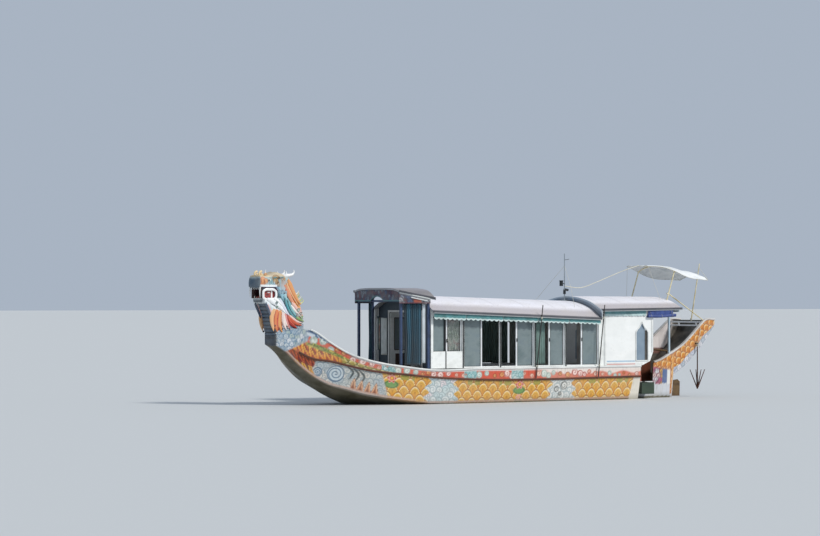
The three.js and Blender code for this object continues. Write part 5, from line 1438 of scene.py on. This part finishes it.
def make_valances():
    """Teal cloth under the eaves in five lengths a side with a pale scalloped hem, and a header
    of the same cloth over the boarded side of the helm."""
    breaks = [-2.56, -1.60, -0.68, 0.33, 1.40, 2.30]  # under the roof's ends and at the bay posts
    ends, eaves = zip(*((x, eave) for x, _, eave, _ in MAIN_ROOF))
    for side_name, sign in SIDES:
        for number, (back, front) in enumerate(zip(breaks[:-1], breaks[1:])):
            places = (back + 0.006, front - 0.006)
            line = [(x, sign * 1.409, float(np.interp(x, ends, eaves)) - 0.035) for x in places]
            foot = VALANCE_LOW + HEAD_DROP * ((back + front) / 2 + 2.57)
            drop = (line[0][2] + line[1][2]) / 2 - foot
            hanging(
                f"valance_{side_name}_{number + 1}", line, drop, 5, 0.006, teal_cloth,
                stands_for=[f"valance_{side_name}"] if number == 0 else [],
                scallop=(round((front - back) / 0.135), 0.035), hem="#D6E6E4", tint="#568F92", rows=16,
            )
        line = [(x, sign * 1.302, 2.212) for x in (-4.03, -2.76)]
        hanging(
            f"helm_header_{side_name}", line, 0.16, 6, 0.005, teal_cloth,
            scallop=(14, 0.02), hem="#C6DCDC", tint="#6F9FA4", rows=14,
        )


BAY_EDGES = [2.24, 1.425, 1.375, 0.355, 0.305, -0.655, -0.705, -1.565, -1.615, -2.59]
BAYS = [(BAY_EDGES[i + 1], BAY_EDGES[i]) for i in range(0, 10, 2)]
PANEL_TOP = 1.24  # the foremost bay is boarded up to here
FORWARD_SASHES = (1,)  # the bay whose sash stands at its forward half; the others stand aft
BAY_POSTS = (1.40, 0.33, -0.68, -1.59)
CURTAIN_Y = 1.17


def sash_run(number):
    """Ends of a bay's sliding sash, as the frame has it."""
    back, front = BAYS[number]
    half = (front - back) / 2 + 0.03
    return (front - half, front + 0.01) if number in FORWARD_SASHES else (back - 0.01, back + half)


def make_windows():
    """Panes of film-tinted glass in the sashes, a fixed pane in the first bay with its post,
    rubber round each pane, a latch on each sash and white curtains behind the glass."""
    panes, clear, beads, latches = [], [], [], []
    for number in range(5):
        back, front = sash_run(number)
        low = PANEL_TOP - 0.03 if number == 0 else 0.851
        frames = [(back + 0.045, front - 0.045, low + 0.03)]
        if number == 0:
            frames.append((front + 0.05, 2.23, PANEL_TOP + 0.005))
        for x0, x1, z0 in frames:
            top = head_height((x0 + x1) / 2) - 0.014
            kind = clear if number == 0 and x0 < 1.6 else panes
            kind.append(block((x0 - 0.006, 1.2257, z0 - 0.006), (x1 + 0.006, 1.2307, top + 0.004), 0.001))
            corners = round_about(np.array([(x0, z0), (x1, z0), (x1, top), (x0, top)]))
            beads += mouldings(corners, 1.2405, rounded(0.009, 0.007, 0.002))
        latches.append(block((front - 0.034, 1.2397, 1.45), (front - 0.014, 1.256, 1.53), 0.006))
    for name, parts, material, slot in (
        ("window_panes", panes, tinted_glass, "frame_alu"),
        ("clear_window_panes", clear, clear_glass, "frame_alu"),
        ("window_beads", beads, rubber, "dark_steel"),
        ("sash_latches", latches, dark_metal, "dark_steel"),
    ):
        merged(name, both(parts), material)
    front = sash_run(0)[1]
    post = [
        block((front + 0.008, 1.2403, PANEL_TOP + 0.005), (front + 0.05, 1.262, 2.02), 0.004),
        block((front + 0.012, WALL_FACE, 0.845), (front + 0.036, 1.2903, PANEL_TOP + 0.005), 0.004),
    ]
    for middle in BAY_POSTS:
        high = head_height(middle) + 0.05
        post.append(block((middle - 0.012, WALL_FACE, 0.845), (middle + 0.012, 1.2993, high), 0.004))
    merged("bay_posts", both(post), dark_metal)
    for side_name, sign in SIDES:
        for number, (back, front) in enumerate(BAYS):
            top = head_height(back) - 0.01
            start, end = ((back, back + 0.3), (front - 0.34, front))[number % 2]
            if number == 0:
                end = back + 0.42
            if sign < 0:
                start, end = back + 0.01, front - 0.01
            line = [(x, sign * CURTAIN_Y, top) for x in (start, end)]
            folds = max(4, round((end - start) / 0.075))
            drop, cloth, tone = 0.77, lace_cloth, "#FFFFFF"
            if number > 0:
                drop, cloth, tone = 1.05, curtain_cloth, ("#AEB9B2", "#6F8A84")[number % 2]
            hanging(
                f"curtain_{side_name}_{number + 1}", line, drop, folds, 0.016, cloth,
                tint=tone, rows=16,
            )
        rail = [(x, sign * CURTAIN_Y, head_height(x) - 0.002) for x in (2.2, -2.55)]
        merged(f"curtain_rail_{side_name}", [tube(rail, 0.008)], dark_metal)


OGEE = [
    [-1, 0.95], [1, 0.95], [1, 1.66], [0.72, 1.73], [0.45, 1.77], [0.18, 1.85], [0, 1.91], [-0.18, 1.85],
    [-0.45, 1.77], [-0.72, 1.73], [-1, 1.66],
]
OGEE_X, OGEE_HALF = -3.915, 0.19


def make_helm_windows():
    """The pointed windows by the helm: a moulding round each opening, a pane set 25 mm back and
    the white corner boards of the wall."""
    outline = np.array([(OGEE_X + across * OGEE_HALF, z) for across, z in OGEE])
    frames = mouldings(round_about(outline), WALL_Y + 0.006, rounded(0.03, 0.018, 0.005))
    loop = np.column_stack([np.maximum(outline[:, 0], -4.02), np.full(len(outline), 1.252), outline[:, 1]])
    m = len(loop)
    here, after = np.arange(m), np.roll(np.arange(m), -1)
    walls = np.column_stack([here, after, after + m, here + m])
    pane = (np.concatenate([loop, loop + [0, 0.006, 0]]), [here[None], here[None, ::-1] + m, walls[:, ::-1]])
    merged("helm_window_mouldings", both(frames), cap_enamel)
    merged("helm_window_panes", both([pane]), blue_pane)
    corner_boards = [
        block((-4.262, 1.2805, 1.16), (-4.21, 1.292, 2.12), 0.003),
        block((-2.80, 1.2805, 0.845), (-2.745, 1.295, 2.2), 0.003),
        block((-3.93, 1.2805, 0.842), (-2.80, 1.29, 0.9), 0.003),
    ]
    merged("helm_corner_boards", both(corner_boards), cap_enamel)
    stripes = [
        (*block((-3.70, WALL_FACE, 0.925), (-2.83, WALL_FACE + 0.002, 0.96), 0.0008), "#A9C4D8"),
        (*block((-3.70, 1.2903, 0.862), (-2.83, 1.2903 + 0.002, 0.882), 0.0008), "#D9928C"),
        # A dark board in the opening aft of the pane: painted shade in the gap there.
        (*block((-4.098, 1.243, 0.958), (-4.026, 1.262, 1.70), 0.004), "#23282E"),
    ]
    merged("helm_stripes", both(stripes), enamel)


def make_porch_cloth():
    """Teal drapes hung on the canted sides of the porch, one drawn back, and a white curtain."""
    # The drapes' strong bands of tone are painted sheen and shade of their satin folds.
    for name, line, drop, folds, depth, cloth, node_name, tint, waist, fold_light in (
        ("drape_port", [(2.50, 1.165, 2.385), ((2.50 + 2.86) / 2, 1.0685, 2.385), (2.86, 0.972, 2.385)],
         1.46, 9, 0.022, drape_cloth, "porch_frame", "#1B4A5C", 0.06, 0.75),
        ("drape_starboard", [(2.42, -1.205, 2.385), (2.53, -1.15, 2.385)],
         1.46, 4, 0.02, drape_cloth, "porch_frame", "#22566A", 0.2, 0.6),
        ("curtain_edge", [(2.425, 1.222, 2.37), (2.455, 1.206, 2.37), (2.485, 1.19, 2.37)],
         1.4, 2, 0.006, curtain_cloth, "porch_frame", "#D6DEE2", 0.0, 0.12),
        ("white_curtain", [(2.23, -1.08, 2.02), (2.23, -0.80, 2.02)],
         0.9, 5, 0.012, curtain_cloth, "front_bulkhead", "#E4EAE8", 0.0, 0.12),
    ):
        hanging(
            f"porch_{name}", line, drop, folds, depth, cloth,
            waist=waist, tint=tint, fold_light=fold_light,
        )


def make_tarp_roll():
    """The rolled tarpaulin: a sheet wound 4.5 turns, its radius growing from 12 to 40 mm, with
    soft lumps along it, and three ties round it."""
    back, front, turns, axis_y, tie_radius = -4.93, -4.06, 4.5, 1.3225, 0.0425
    u, v = np.linspace(0, 1, 70)[:, None], np.linspace(0, 1, 150)[None]
    radius = 0.012 + 0.027 * v + 0.0025 * np.sin(9 * u + 14 * v) * v
    angle = -2 * np.pi * turns * v + 1.1
    x = back + (front - back) * u + 0.01 * np.sin(5 * v)
    middle_z = 2.075 - 0.025 * u
    y = axis_y + radius * np.cos(angle)
    z = middle_z + radius * np.sin(angle) - 0.012 * np.sin(np.pi * u) ** 2
    grid = np.stack(np.broadcast_arrays(x, y, z), -1)
    length = run_of(grid[35])
    flat = laid_flat(u * (front - back), length[None])
    made = piece(
        "rolled_tarpaulin", grid, [quads(70, 150)], tarpaulin, stands_for=["tarp_roll"],
        flat=flat, sharp=80,
    )
    as_cloth(made, 0.0016)
    ties = []
    turn = np.linspace(0, 2 * np.pi, 29)
    for share in (0.12, 0.5, 0.88):
        place = back + (front - back) * share
        middle_z = 2.075 - 0.025 * share - 0.012 * math.sin(math.pi * share) ** 2
        y, z = axis_y + tie_radius * np.cos(turn), middle_z + tie_radius * np.sin(turn)
        ties.append(carried(np.column_stack([np.full(29, place), y, z]), ring(0.003, 8), up=(1, 0, 0)))
        ties.append(tube([(place, axis_y, 2.112), (place, 1.315, 2.2)], 0.003, 8))
    ropes = merged("tarpaulin_ties", ties, rope_fibre)
    flat = (front - back, float(length[-1]))
    line = [(-4.09, 1.315, 2.215), (-4.30, 1.32, 2.212), (-4.62, 1.315, 2.208), (-4.88, 1.30, 2.205)]
    hanging("tarpaulin_flap", line, 0.18, 5, 0.012, tarpaulin)


# Awning: x, half width, ridge z, edge z; the sag gives the drop from ridge to edge
SHEET = [
    [-6.60, 0.560, 3.095, 2.975], [-6.27, 0.690, 3.190, 2.985],
    [-5.95, 0.750, 3.235, 3.000], [-5.65, 0.780, 3.300, 3.070],
    [-5.37, 0.770, 3.335, 3.180], [-4.98, 0.620, 3.330, 3.300], [-4.76, 0.440, 3.325, 3.320],
]
SAG = [[0, 1], [0.35, 0.93], [0.7, 0.6], [1, 0]]


GUY = [
    (-2.48, 0, 2.80), (-2.95, 0.01, 2.76), (-3.45, 0.02, 2.90), (-3.83, 0.01, 3.03), (-4.37, 0, 3.21),
    (-4.80, 0, 3.33),
]
AWNING_TIES = [  # radius and two ends
    (0.005, (-6.60, 0.56, 2.975), (-6.64, 0.15, 3.29)), (0.005, (-6.60, -0.56, 2.975), (-6.64, 0.14, 3.20)),
    (0.02, (-5.12, 0.74, 2.62), (-5.16, 0.742, 2.60)), (0.004, (-4.77, 0.43, 3.31), (-4.95, 0.70, 2.465)),
    (0.004, (-4.77, -0.43, 3.31), (-4.95, -0.70, 2.465)),
]


def make_awning():
    """The awning: one cloth over a bent hoop and a ridge, with folds that run from its tied
    corners, its hem and its ties to the poles."""
    table, slack = np.array(SHEET), 1.06
    x = np.linspace(table[0, 0], table[-1, 0], 120)
    rows = along(table[:, 0], table[:, 1:], x)
    x, share = x[:, None], np.linspace(-1, 1, 90)[None]
    sag = np.array(SAG)
    whole = np.concatenate([sag[:0:-1] * [-1, 1], sag])
    rise = along(whole[:, 0], whole[:, 1], share[0])[None]
    y = rows[:, :1] * share
    z = rows[:, 2:3] + (rows[:, 1:2] - rows[:, 2:3]) * rise
    pull = np.exp(-(((x + 6.6) / 0.5) ** 2)) + np.exp(-(((x + 4.76) / 0.5) ** 2))
    z = z + 0.009 * np.sin(12 * share + 3 * x) * (0.3 + pull) * np.abs(share) - 0.004
    z = z - 0.022 * np.cos(np.pi * 6 * (x + 4.7) / 1.9) * 0.35 * np.clip(1 - np.abs(share), 0, 1)
    grid = np.stack(np.broadcast_arrays(x, y, z), -1)
    along_x = run_of(grid[:, 45])
    flat = laid_flat(along_x[:, None], rows[:, :1] * slack * share)
    made = piece(
        "awning_cloth", grid, [quads(120, 90)], awning_canvas, stands_for=["awning_sheet"],
        flat=flat, sharp=80,
    )
    as_cloth(made, 0.003)
    hems = [tube(line[::3], 0.006, 8) for line in (grid[0], grid[-1], grid[:, 0], grid[:, -1])]
    hem = merged("awning_hem_rope", hems, rope_fibre)
    corner, ahead, across = grid[:-1, :-1], grid[1:, :-1], grid[:-1, 1:]
    area = float(np.linalg.norm(np.cross(ahead - corner, across - corner), axis=2).sum())
    flat = (2 * float(rows[:, 0].max()) * slack, float(along_x[-1]))
    area = min(area, flat[0] * flat[1])
    ties = [tube(through(GUY, 60), 0.011)] + [tube(path, radius) for radius, *path in AWNING_TIES]
    merged("awning_guy_ropes", ties, rope_fibre)


# Small fittings


def make_mast_fittings():
    """A lamp on its bracket, a small aerial and a clamp on the mast, and its stays to the roof."""
    parts = [tube(path, radius, sides) for radius, sides, *path in (
        (0.034, 14, (-2.48, 0, 2.60), (-2.48, 0, 2.70)),
        (0.012, 10, (-2.48, 0, 2.86), (-2.36, 0.03, 2.86)),
        (0.045, 16, (-2.36, 0.03, 2.80), (-2.36, 0.03, 2.92)),
        (0.052, 16, (-2.36, 0.03, 2.92), (-2.36, 0.03, 2.94)),
        (0.006, 10, (-2.48, 0, 3.45), (-2.62, 0.0, 3.47)),
        (0.03, 12, (-2.48, -0.01, 2.72), (-2.60, -0.02, 2.70)),
    )]
    merged("mast_lamp_and_bracket", parts, dark_metal)
    stay = through([(-2.48, 0.0, 3.30), (-2.3, 0.5, 2.79), (-2.1, 0.95, 2.277)], 20)
    merged("mast_stays", both([tube(stay, 0.004, 8)]), rope_fibre)


def make_engine():
    """A single-cylinder diesel: ribbed crankcase, a red tank on top with a brass cap, flywheel with
    spokes, filter, silencer and pipes."""
    dark, red, steel, brass = "#2E3330", "#7A2A20", "#6E7375", "#9C7A3E"
    wheel_x, wheel_z = -3.972, 0.47
    parts = [
        (*block((-4.33, -0.22, 0.262), (-4.0, 0.22, 0.34), 0.02), dark),
        (*block((-4.31, -0.17, 0.34), (-4.02, 0.17, 0.66), 0.05), dark),
    ]
    for level in np.linspace(0.38, 0.62, 7):
        parts.append((*block((-4.32, -0.178, level), (-4.01, 0.178, level + 0.014), 0.05), dark))
    parts.append((*block((-4.30, -0.13, 0.66), (-4.04, 0.13, 0.79), 0.04), red))
    parts.append((*tube([(-4.22, -0.05, 0.79), (-4.22, -0.05, 0.825)], 0.04, 16), brass))
    wheel = np.linspace(0, 2 * np.pi, 49)
    rim = np.column_stack([np.full(49, wheel_x), 0.152 * np.cos(wheel), wheel_z + 0.152 * np.sin(wheel)])
    parts.append((*carried(rim, rounded(0.036, 0.03, 0.006), up=(1, 0, 0)), steel))
    for turn in np.arange(5) * 2 * np.pi / 5:
        spoke = [(wheel_x, r * math.cos(turn), wheel_z + r * math.sin(turn)) for r in (0.03, 0.15)]
        parts.append((*tube(spoke, 0.014, 10), steel))
    pipe = through([(-4.1, 0.15, 0.60), (-4.1, 0.26, 0.605), (-4.1, 0.38, 0.63), (-4.1, 0.42, 0.70)], 16)
    bolts = [(0.012, 6, steel, [(-4.02, y, 0.355), (-4.004, y, 0.355)]) for y in (-0.12, -0.04, 0.04, 0.12)]
    for radius, sides, tone, path in (
        (0.04, 16, steel, [(-4.0, 0, wheel_z), (-3.955, 0, wheel_z)]),
        (0.032, 12, steel, pipe),
        (0.052, 18, dark, [(-4.1, 0.42, 0.68), (-4.1, 0.42, 0.90)]),
        (0.02, 12, steel, [(-4.1, 0.42, 0.90), (-4.1, 0.42, 0.99)]),
        (0.045, 16, brass, [(-4.26, -0.16, 0.58), (-4.26, -0.215, 0.58)]),
        *bolts,
    ):
        parts.append((*tube(path, radius, sides), tone))
    merged("ribbed_diesel_engine", parts, gloss_enamel, stands_for=["engine_block"])


DOOR_HINGE_X = 2.185


def make_door_fittings():
    """On each door leaf: glass, a raised panel under it with a moulding, and a lever handle."""
    for side_name, sign in SIDES:
        body = f"door_{side_name}"
        y0, y1 = sorted((sign * 0.69, sign * 0.715))
        x_back, x_front, low, high = DOOR_HINGE_X - 0.6, DOOR_HINGE_X - 0.1, 1.25, 2.02
        glass = block((x_back - 0.004, y0 + 0.009, 1.246), (x_front + 0.004, y1 - 0.009, 2.024), 0.001)
        merged(f"door_glass_{side_name}", [glass], tinted_glass, body)
        parts = []
        for face, out in ((y0, -1), (y1, 1)):
            near, far = sorted((face, face + out * 0.006))
            parts.append(block((x_back + 0.03, near, 0.56), (x_front - 0.03, far, 1.16), 0.002))
            pairs = (
                ((x_back, low), (x_front, low)), ((x_back, high), (x_front, high)),
                ((x_back, low), (x_back, high)), ((x_front, low), (x_front, high)),
            )
            parts += mouldings(pairs, face, rounded(0.022, 0.012, 0.004))
            clear = face + out * 0.03
            grip = [(x_back - 0.05, face, 1.18), (x_back - 0.05, clear, 1.18), (x_back + 0.05, clear, 1.18)]
            parts += [tube(grip[:2], 0.008), tube(grip[1:], 0.008)]
        merged(f"door_mouldings_{side_name}", parts, door_wood, body)


enamel = painted("enamel_on_planks")
gloss_enamel = painted("gloss_enamel_on_carving", 0.3, 0.0, 0.3)
roof_enamel = painted("enamel_on_roof_sheet", 0.42, 0.0)
cap_enamel = weathered("white_enamelled_rail", ["#CDD0CE", "#E9EAE7"], 0.45, dirt="#7C7564")
strake_wood = weathered("oiled_strake_wood", ["#3F2114", "#5F3420", "#4C2A1A"], 0.5, grain=(260, 24, 24))
# The eave trim's dark grey is partly painted shade along the eaves.
trim_metal = weathered("grey_eave_trim", ["#46484E", "#5A5A60"], 0.45)
worn_enamel = weathered("worn_white_rail", ["#B9B4AE", "#D9D6D2"], 0.55, dirt="#7A5A3A", dirt_share=0.5)

cloth_wash = ["#D9DAD6", "#FFFFFF", "#ECEDEA"]  # multiplies the cloth's own colour
teal_cloth = woven("teal_cotton_canvas", cloth_wash, tinted=True)
curtain_cloth = woven("thin_curtain_cotton", cloth_wash, 3.0, 0.85, tinted=True)
flowers = ["#D9D2C2", "#C9958C", "#E6E0D2", "#A3AE96", "#DDD3C6"]
lace_cloth = woven("flowered_lace_curtain", flowers, 3.0, 0.85, tinted=True)
drape_cloth = woven("satin_drape_cloth", cloth_wash, 3.0, 0.45, 0.6, tinted=True)
# The tarpaulin's blues are darkened: partly painted shade under the aft eave.
tarpaulin = woven("blue_laminated_tarpaulin", ["#24376E", "#3A4F8C", "#2C4078"], 6.0, 0.4, 0.1)
awning_canvas = woven("bleached_awning_canvas", ["#CFD4D6", "#EEF0F0", "#DDE1E2"], 4.0, 0.75)
rope_fibre = weathered("twisted_nylon_rope", ["#B9B7AA", "#D6D3C4"], 0.7, grain=(9, 9, 9))
rubber = weathered("black_rubber_bead", ["#1B1C1D", "#2A2B2C"], 0.6, dirt="#3A3935")
dark_metal = weathered("black_enamelled_steel", ["#1D2023", "#2E3235"], 0.4, 0.3)
timber_paint = weathered("brown_painted_timber", ["#5A4636", "#75604C", "#665040"], 0.6, grain=(30, 30, 240))
door_wood = weathered("dark_varnished_hardwood", ["#2F2420", "#43322A", "#382A24"], 0.35, grain=(22, 22, 300))
clear_glass = glazed("clear_window_glass", ["#D5DEDD", "#E3E9E8"], 0.06, 0.92, 0.05)
tinted_glass = glazed("film_tinted_glass", ["#7E8F92", "#92A1A3", "#8A9AA0"], 0.1, 0.35, 0.08)
blue_pane = glazed("blue_film_on_glass", ["#7C90A3", "#95A7B6"], 0.14, 0.15, 0.1)

make_hull()
edge_strip("gunwale_cap", 3, 5.108, 0.077, 0.04, -0.0165, 0.0205, cap_enamel, "gunwale")
edge_strip("rub_strake_wood", 2, 5.37, 0.03, 0.05, 0.012, 0.003, strake_wood, "rub_strake")
make_stern()
roof("main_roof_sheet", "main_roof", MAIN_ROOF, ARCH, np.linspace(-2.3, 2.1, 6))
roof("aft_roof_sheet", "aft_roof", AFT_ROOF, ARCH, np.linspace(-4.9, -2.75, 4))
# The porch roof's greys are the white of the other roofs darkened: painted shade.
roof("porch_roof_sheet", "porch_roof", PORCH_ROOF, FLAT_ARCH, top="#8F8D95", skirt="#7A777C")
dragon_neck()
dragon_head()
dragon_hair()
dragon_crest()
dragon_jaw()
dragon_nose_horns()
make_arch_board()
make_porch_fascia()
make_valances()
make_windows()
make_helm_windows()
make_porch_cloth()
make_tarp_roll()
make_awning()
make_mast_fittings()
make_engine()
make_door_fittings()
make_stern_clutter()
make_ropework()
make_bow_timbers()


# The frame's own nodes that stay, each with the finish of what it is made of

NODE_FINISHES = {
    weathered("brushed_white_enamel", ["#D9DBD8", "#F0F2EF", "#E6E9E8"], 0.42, dirt="#8B8574", dirt_share=0.3):
        "cabin_side_port cabin_side_starboard aft_bulkhead",
    # The stern rail's white is brighter than the other white enamels: painted light on its bow-facing side,
    # which the sun leaves in shade.
    weathered("white_enamel_with_painted_light", ["#F2F4F4", "#FBFBFA"], 0.4): "stern_rail",
    boards("scrubbed_deck_planks", "#A98D68", "#6A5138", 120, 0.7): "cabin_floor foredeck bow_deck stern_floor",
    boards("varnished_bench_slats", "#A8713F", "#6B3F22", 80, 0.4): "bench_port bench_starboard",
    weathered("blue_enamelled_tube", ["#27354D", "#35486A", "#2C3D5A"], 0.4, dirt="#1C222C"): "porch_frame",
    weathered("white_coated_aluminium", ["#DDE1E2", "#F4F6F6"], 0.34, 0.15, grain=(8, 8, 240)):
        "sashes_port sashes_starboard",
    weathered("grey_blue_enamel", ["#2E3B46", "#41525E"], 0.45): "front_bulkhead",
    weathered("white_door_enamel", ["#D7DEDD", "#EEF1EF"], 0.38): "cabin_door_port cabin_door_starboard",
    weathered("light_blue_enamelled_post", ["#9FB4C2", "#BCCBD4"], 0.45): "aft_frame",
    weathered("red_brown_varnish", ["#4F2A1E", "#6E3B28"], 0.38, grain=(24, 280, 24)): "helm_locker locker_lid",
    weathered("dark_green_tank_enamel", ["#29392F", "#3B4A3A"], 0.42): "fuel_tank",
    weathered("tarred_hardwood", ["#2B231D", "#3F3328"], 0.7): "skeg",
    weathered("sea_worn_bronze", ["#8A6A3A", "#5F6A4A", "#A8823F"], 0.38, 0.9): "stern_tube propeller",
    weathered("rust_streaked_hardwood", ["#54402A", "#6E5636", "#3C2C1C"], 0.72): "rudder",
    weathered("weathered_bamboo", ["#C9B98A", "#E3D8B4", "#B3A274"], 0.55, grain=(14, 14, 300)): "awning_frame",
    weathered("galvanised_pole", ["#8C969B", "#AEB6BA"], 0.4, 0.8): "mast",
    weathered("rusted_forged_iron", ["#2E2723", "#5A3626", "#1F1C1B"], 0.75, 0.5, depth_mm=2.0): "anchor",
    weathered("tarred_pole", ["#2B2B2D", "#44403C"], 0.6): "side_pole_fore side_pole_aft",
    weathered("white_boards", ["#E6E8E6", "#F2F3F1"], 0.5, dirt="#B9B5A8", dirt_share=0.15):
        "helm_side_port helm_side_starboard",
}
for material, names in NODE_FINISHES.items():
    for name in names.split():
        slots = bpy.data.objects[name].data.materials
        slots.clear()
        slots.append(material)


# Studio: a pale floor at the waterline, a soft sun from the port quarter and a pale sky

FLOOR_REACH = 600.0
floor_mesh = bpy.data.meshes.new("floor")
corners = [(x * FLOOR_REACH, y * FLOOR_REACH, 0) for x, y in ((-1, -1), (1, -1), (1, 1), (-1, 1))]
floor_mesh.from_pydata(corners, [], [(0, 1, 2, 3)])
floor = bpy.data.objects.new("floor", floor_mesh)
bpy.context.scene.collection.objects.link(floor)
floor.data.materials.append(surface("matt_studio_floor", 0.75, **{"Base Color": rgba("#C9CCCD")})[0])

sun_data = bpy.data.lights.new("sun", "SUN")
sun_data.energy = 2.5
sun_data.angle = math.radians(9)
sun_data.color = (1.0, 0.965, 0.91)
sun = bpy.data.objects.new("sun", sun_data)
bpy.context.scene.collection.objects.link(sun)
SUN_BEARING, SUN_HEIGHT = math.radians(-22), math.radians(42)  # abaft the port beam
sun.rotation_euler = (math.radians(90) - SUN_HEIGHT, 0, math.radians(180) - SUN_BEARING)

world = bpy.data.worlds.new("studio")
world.use_nodes = True
sky = world.node_tree.nodes["Background"]
sky.inputs["Color"].default_value = rgba("#C6D3E4")
sky.inputs["Strength"].default_value = 0.7
bpy.context.scene.world = world
bpy.context.scene.view_settings.view_transform = "Standard"
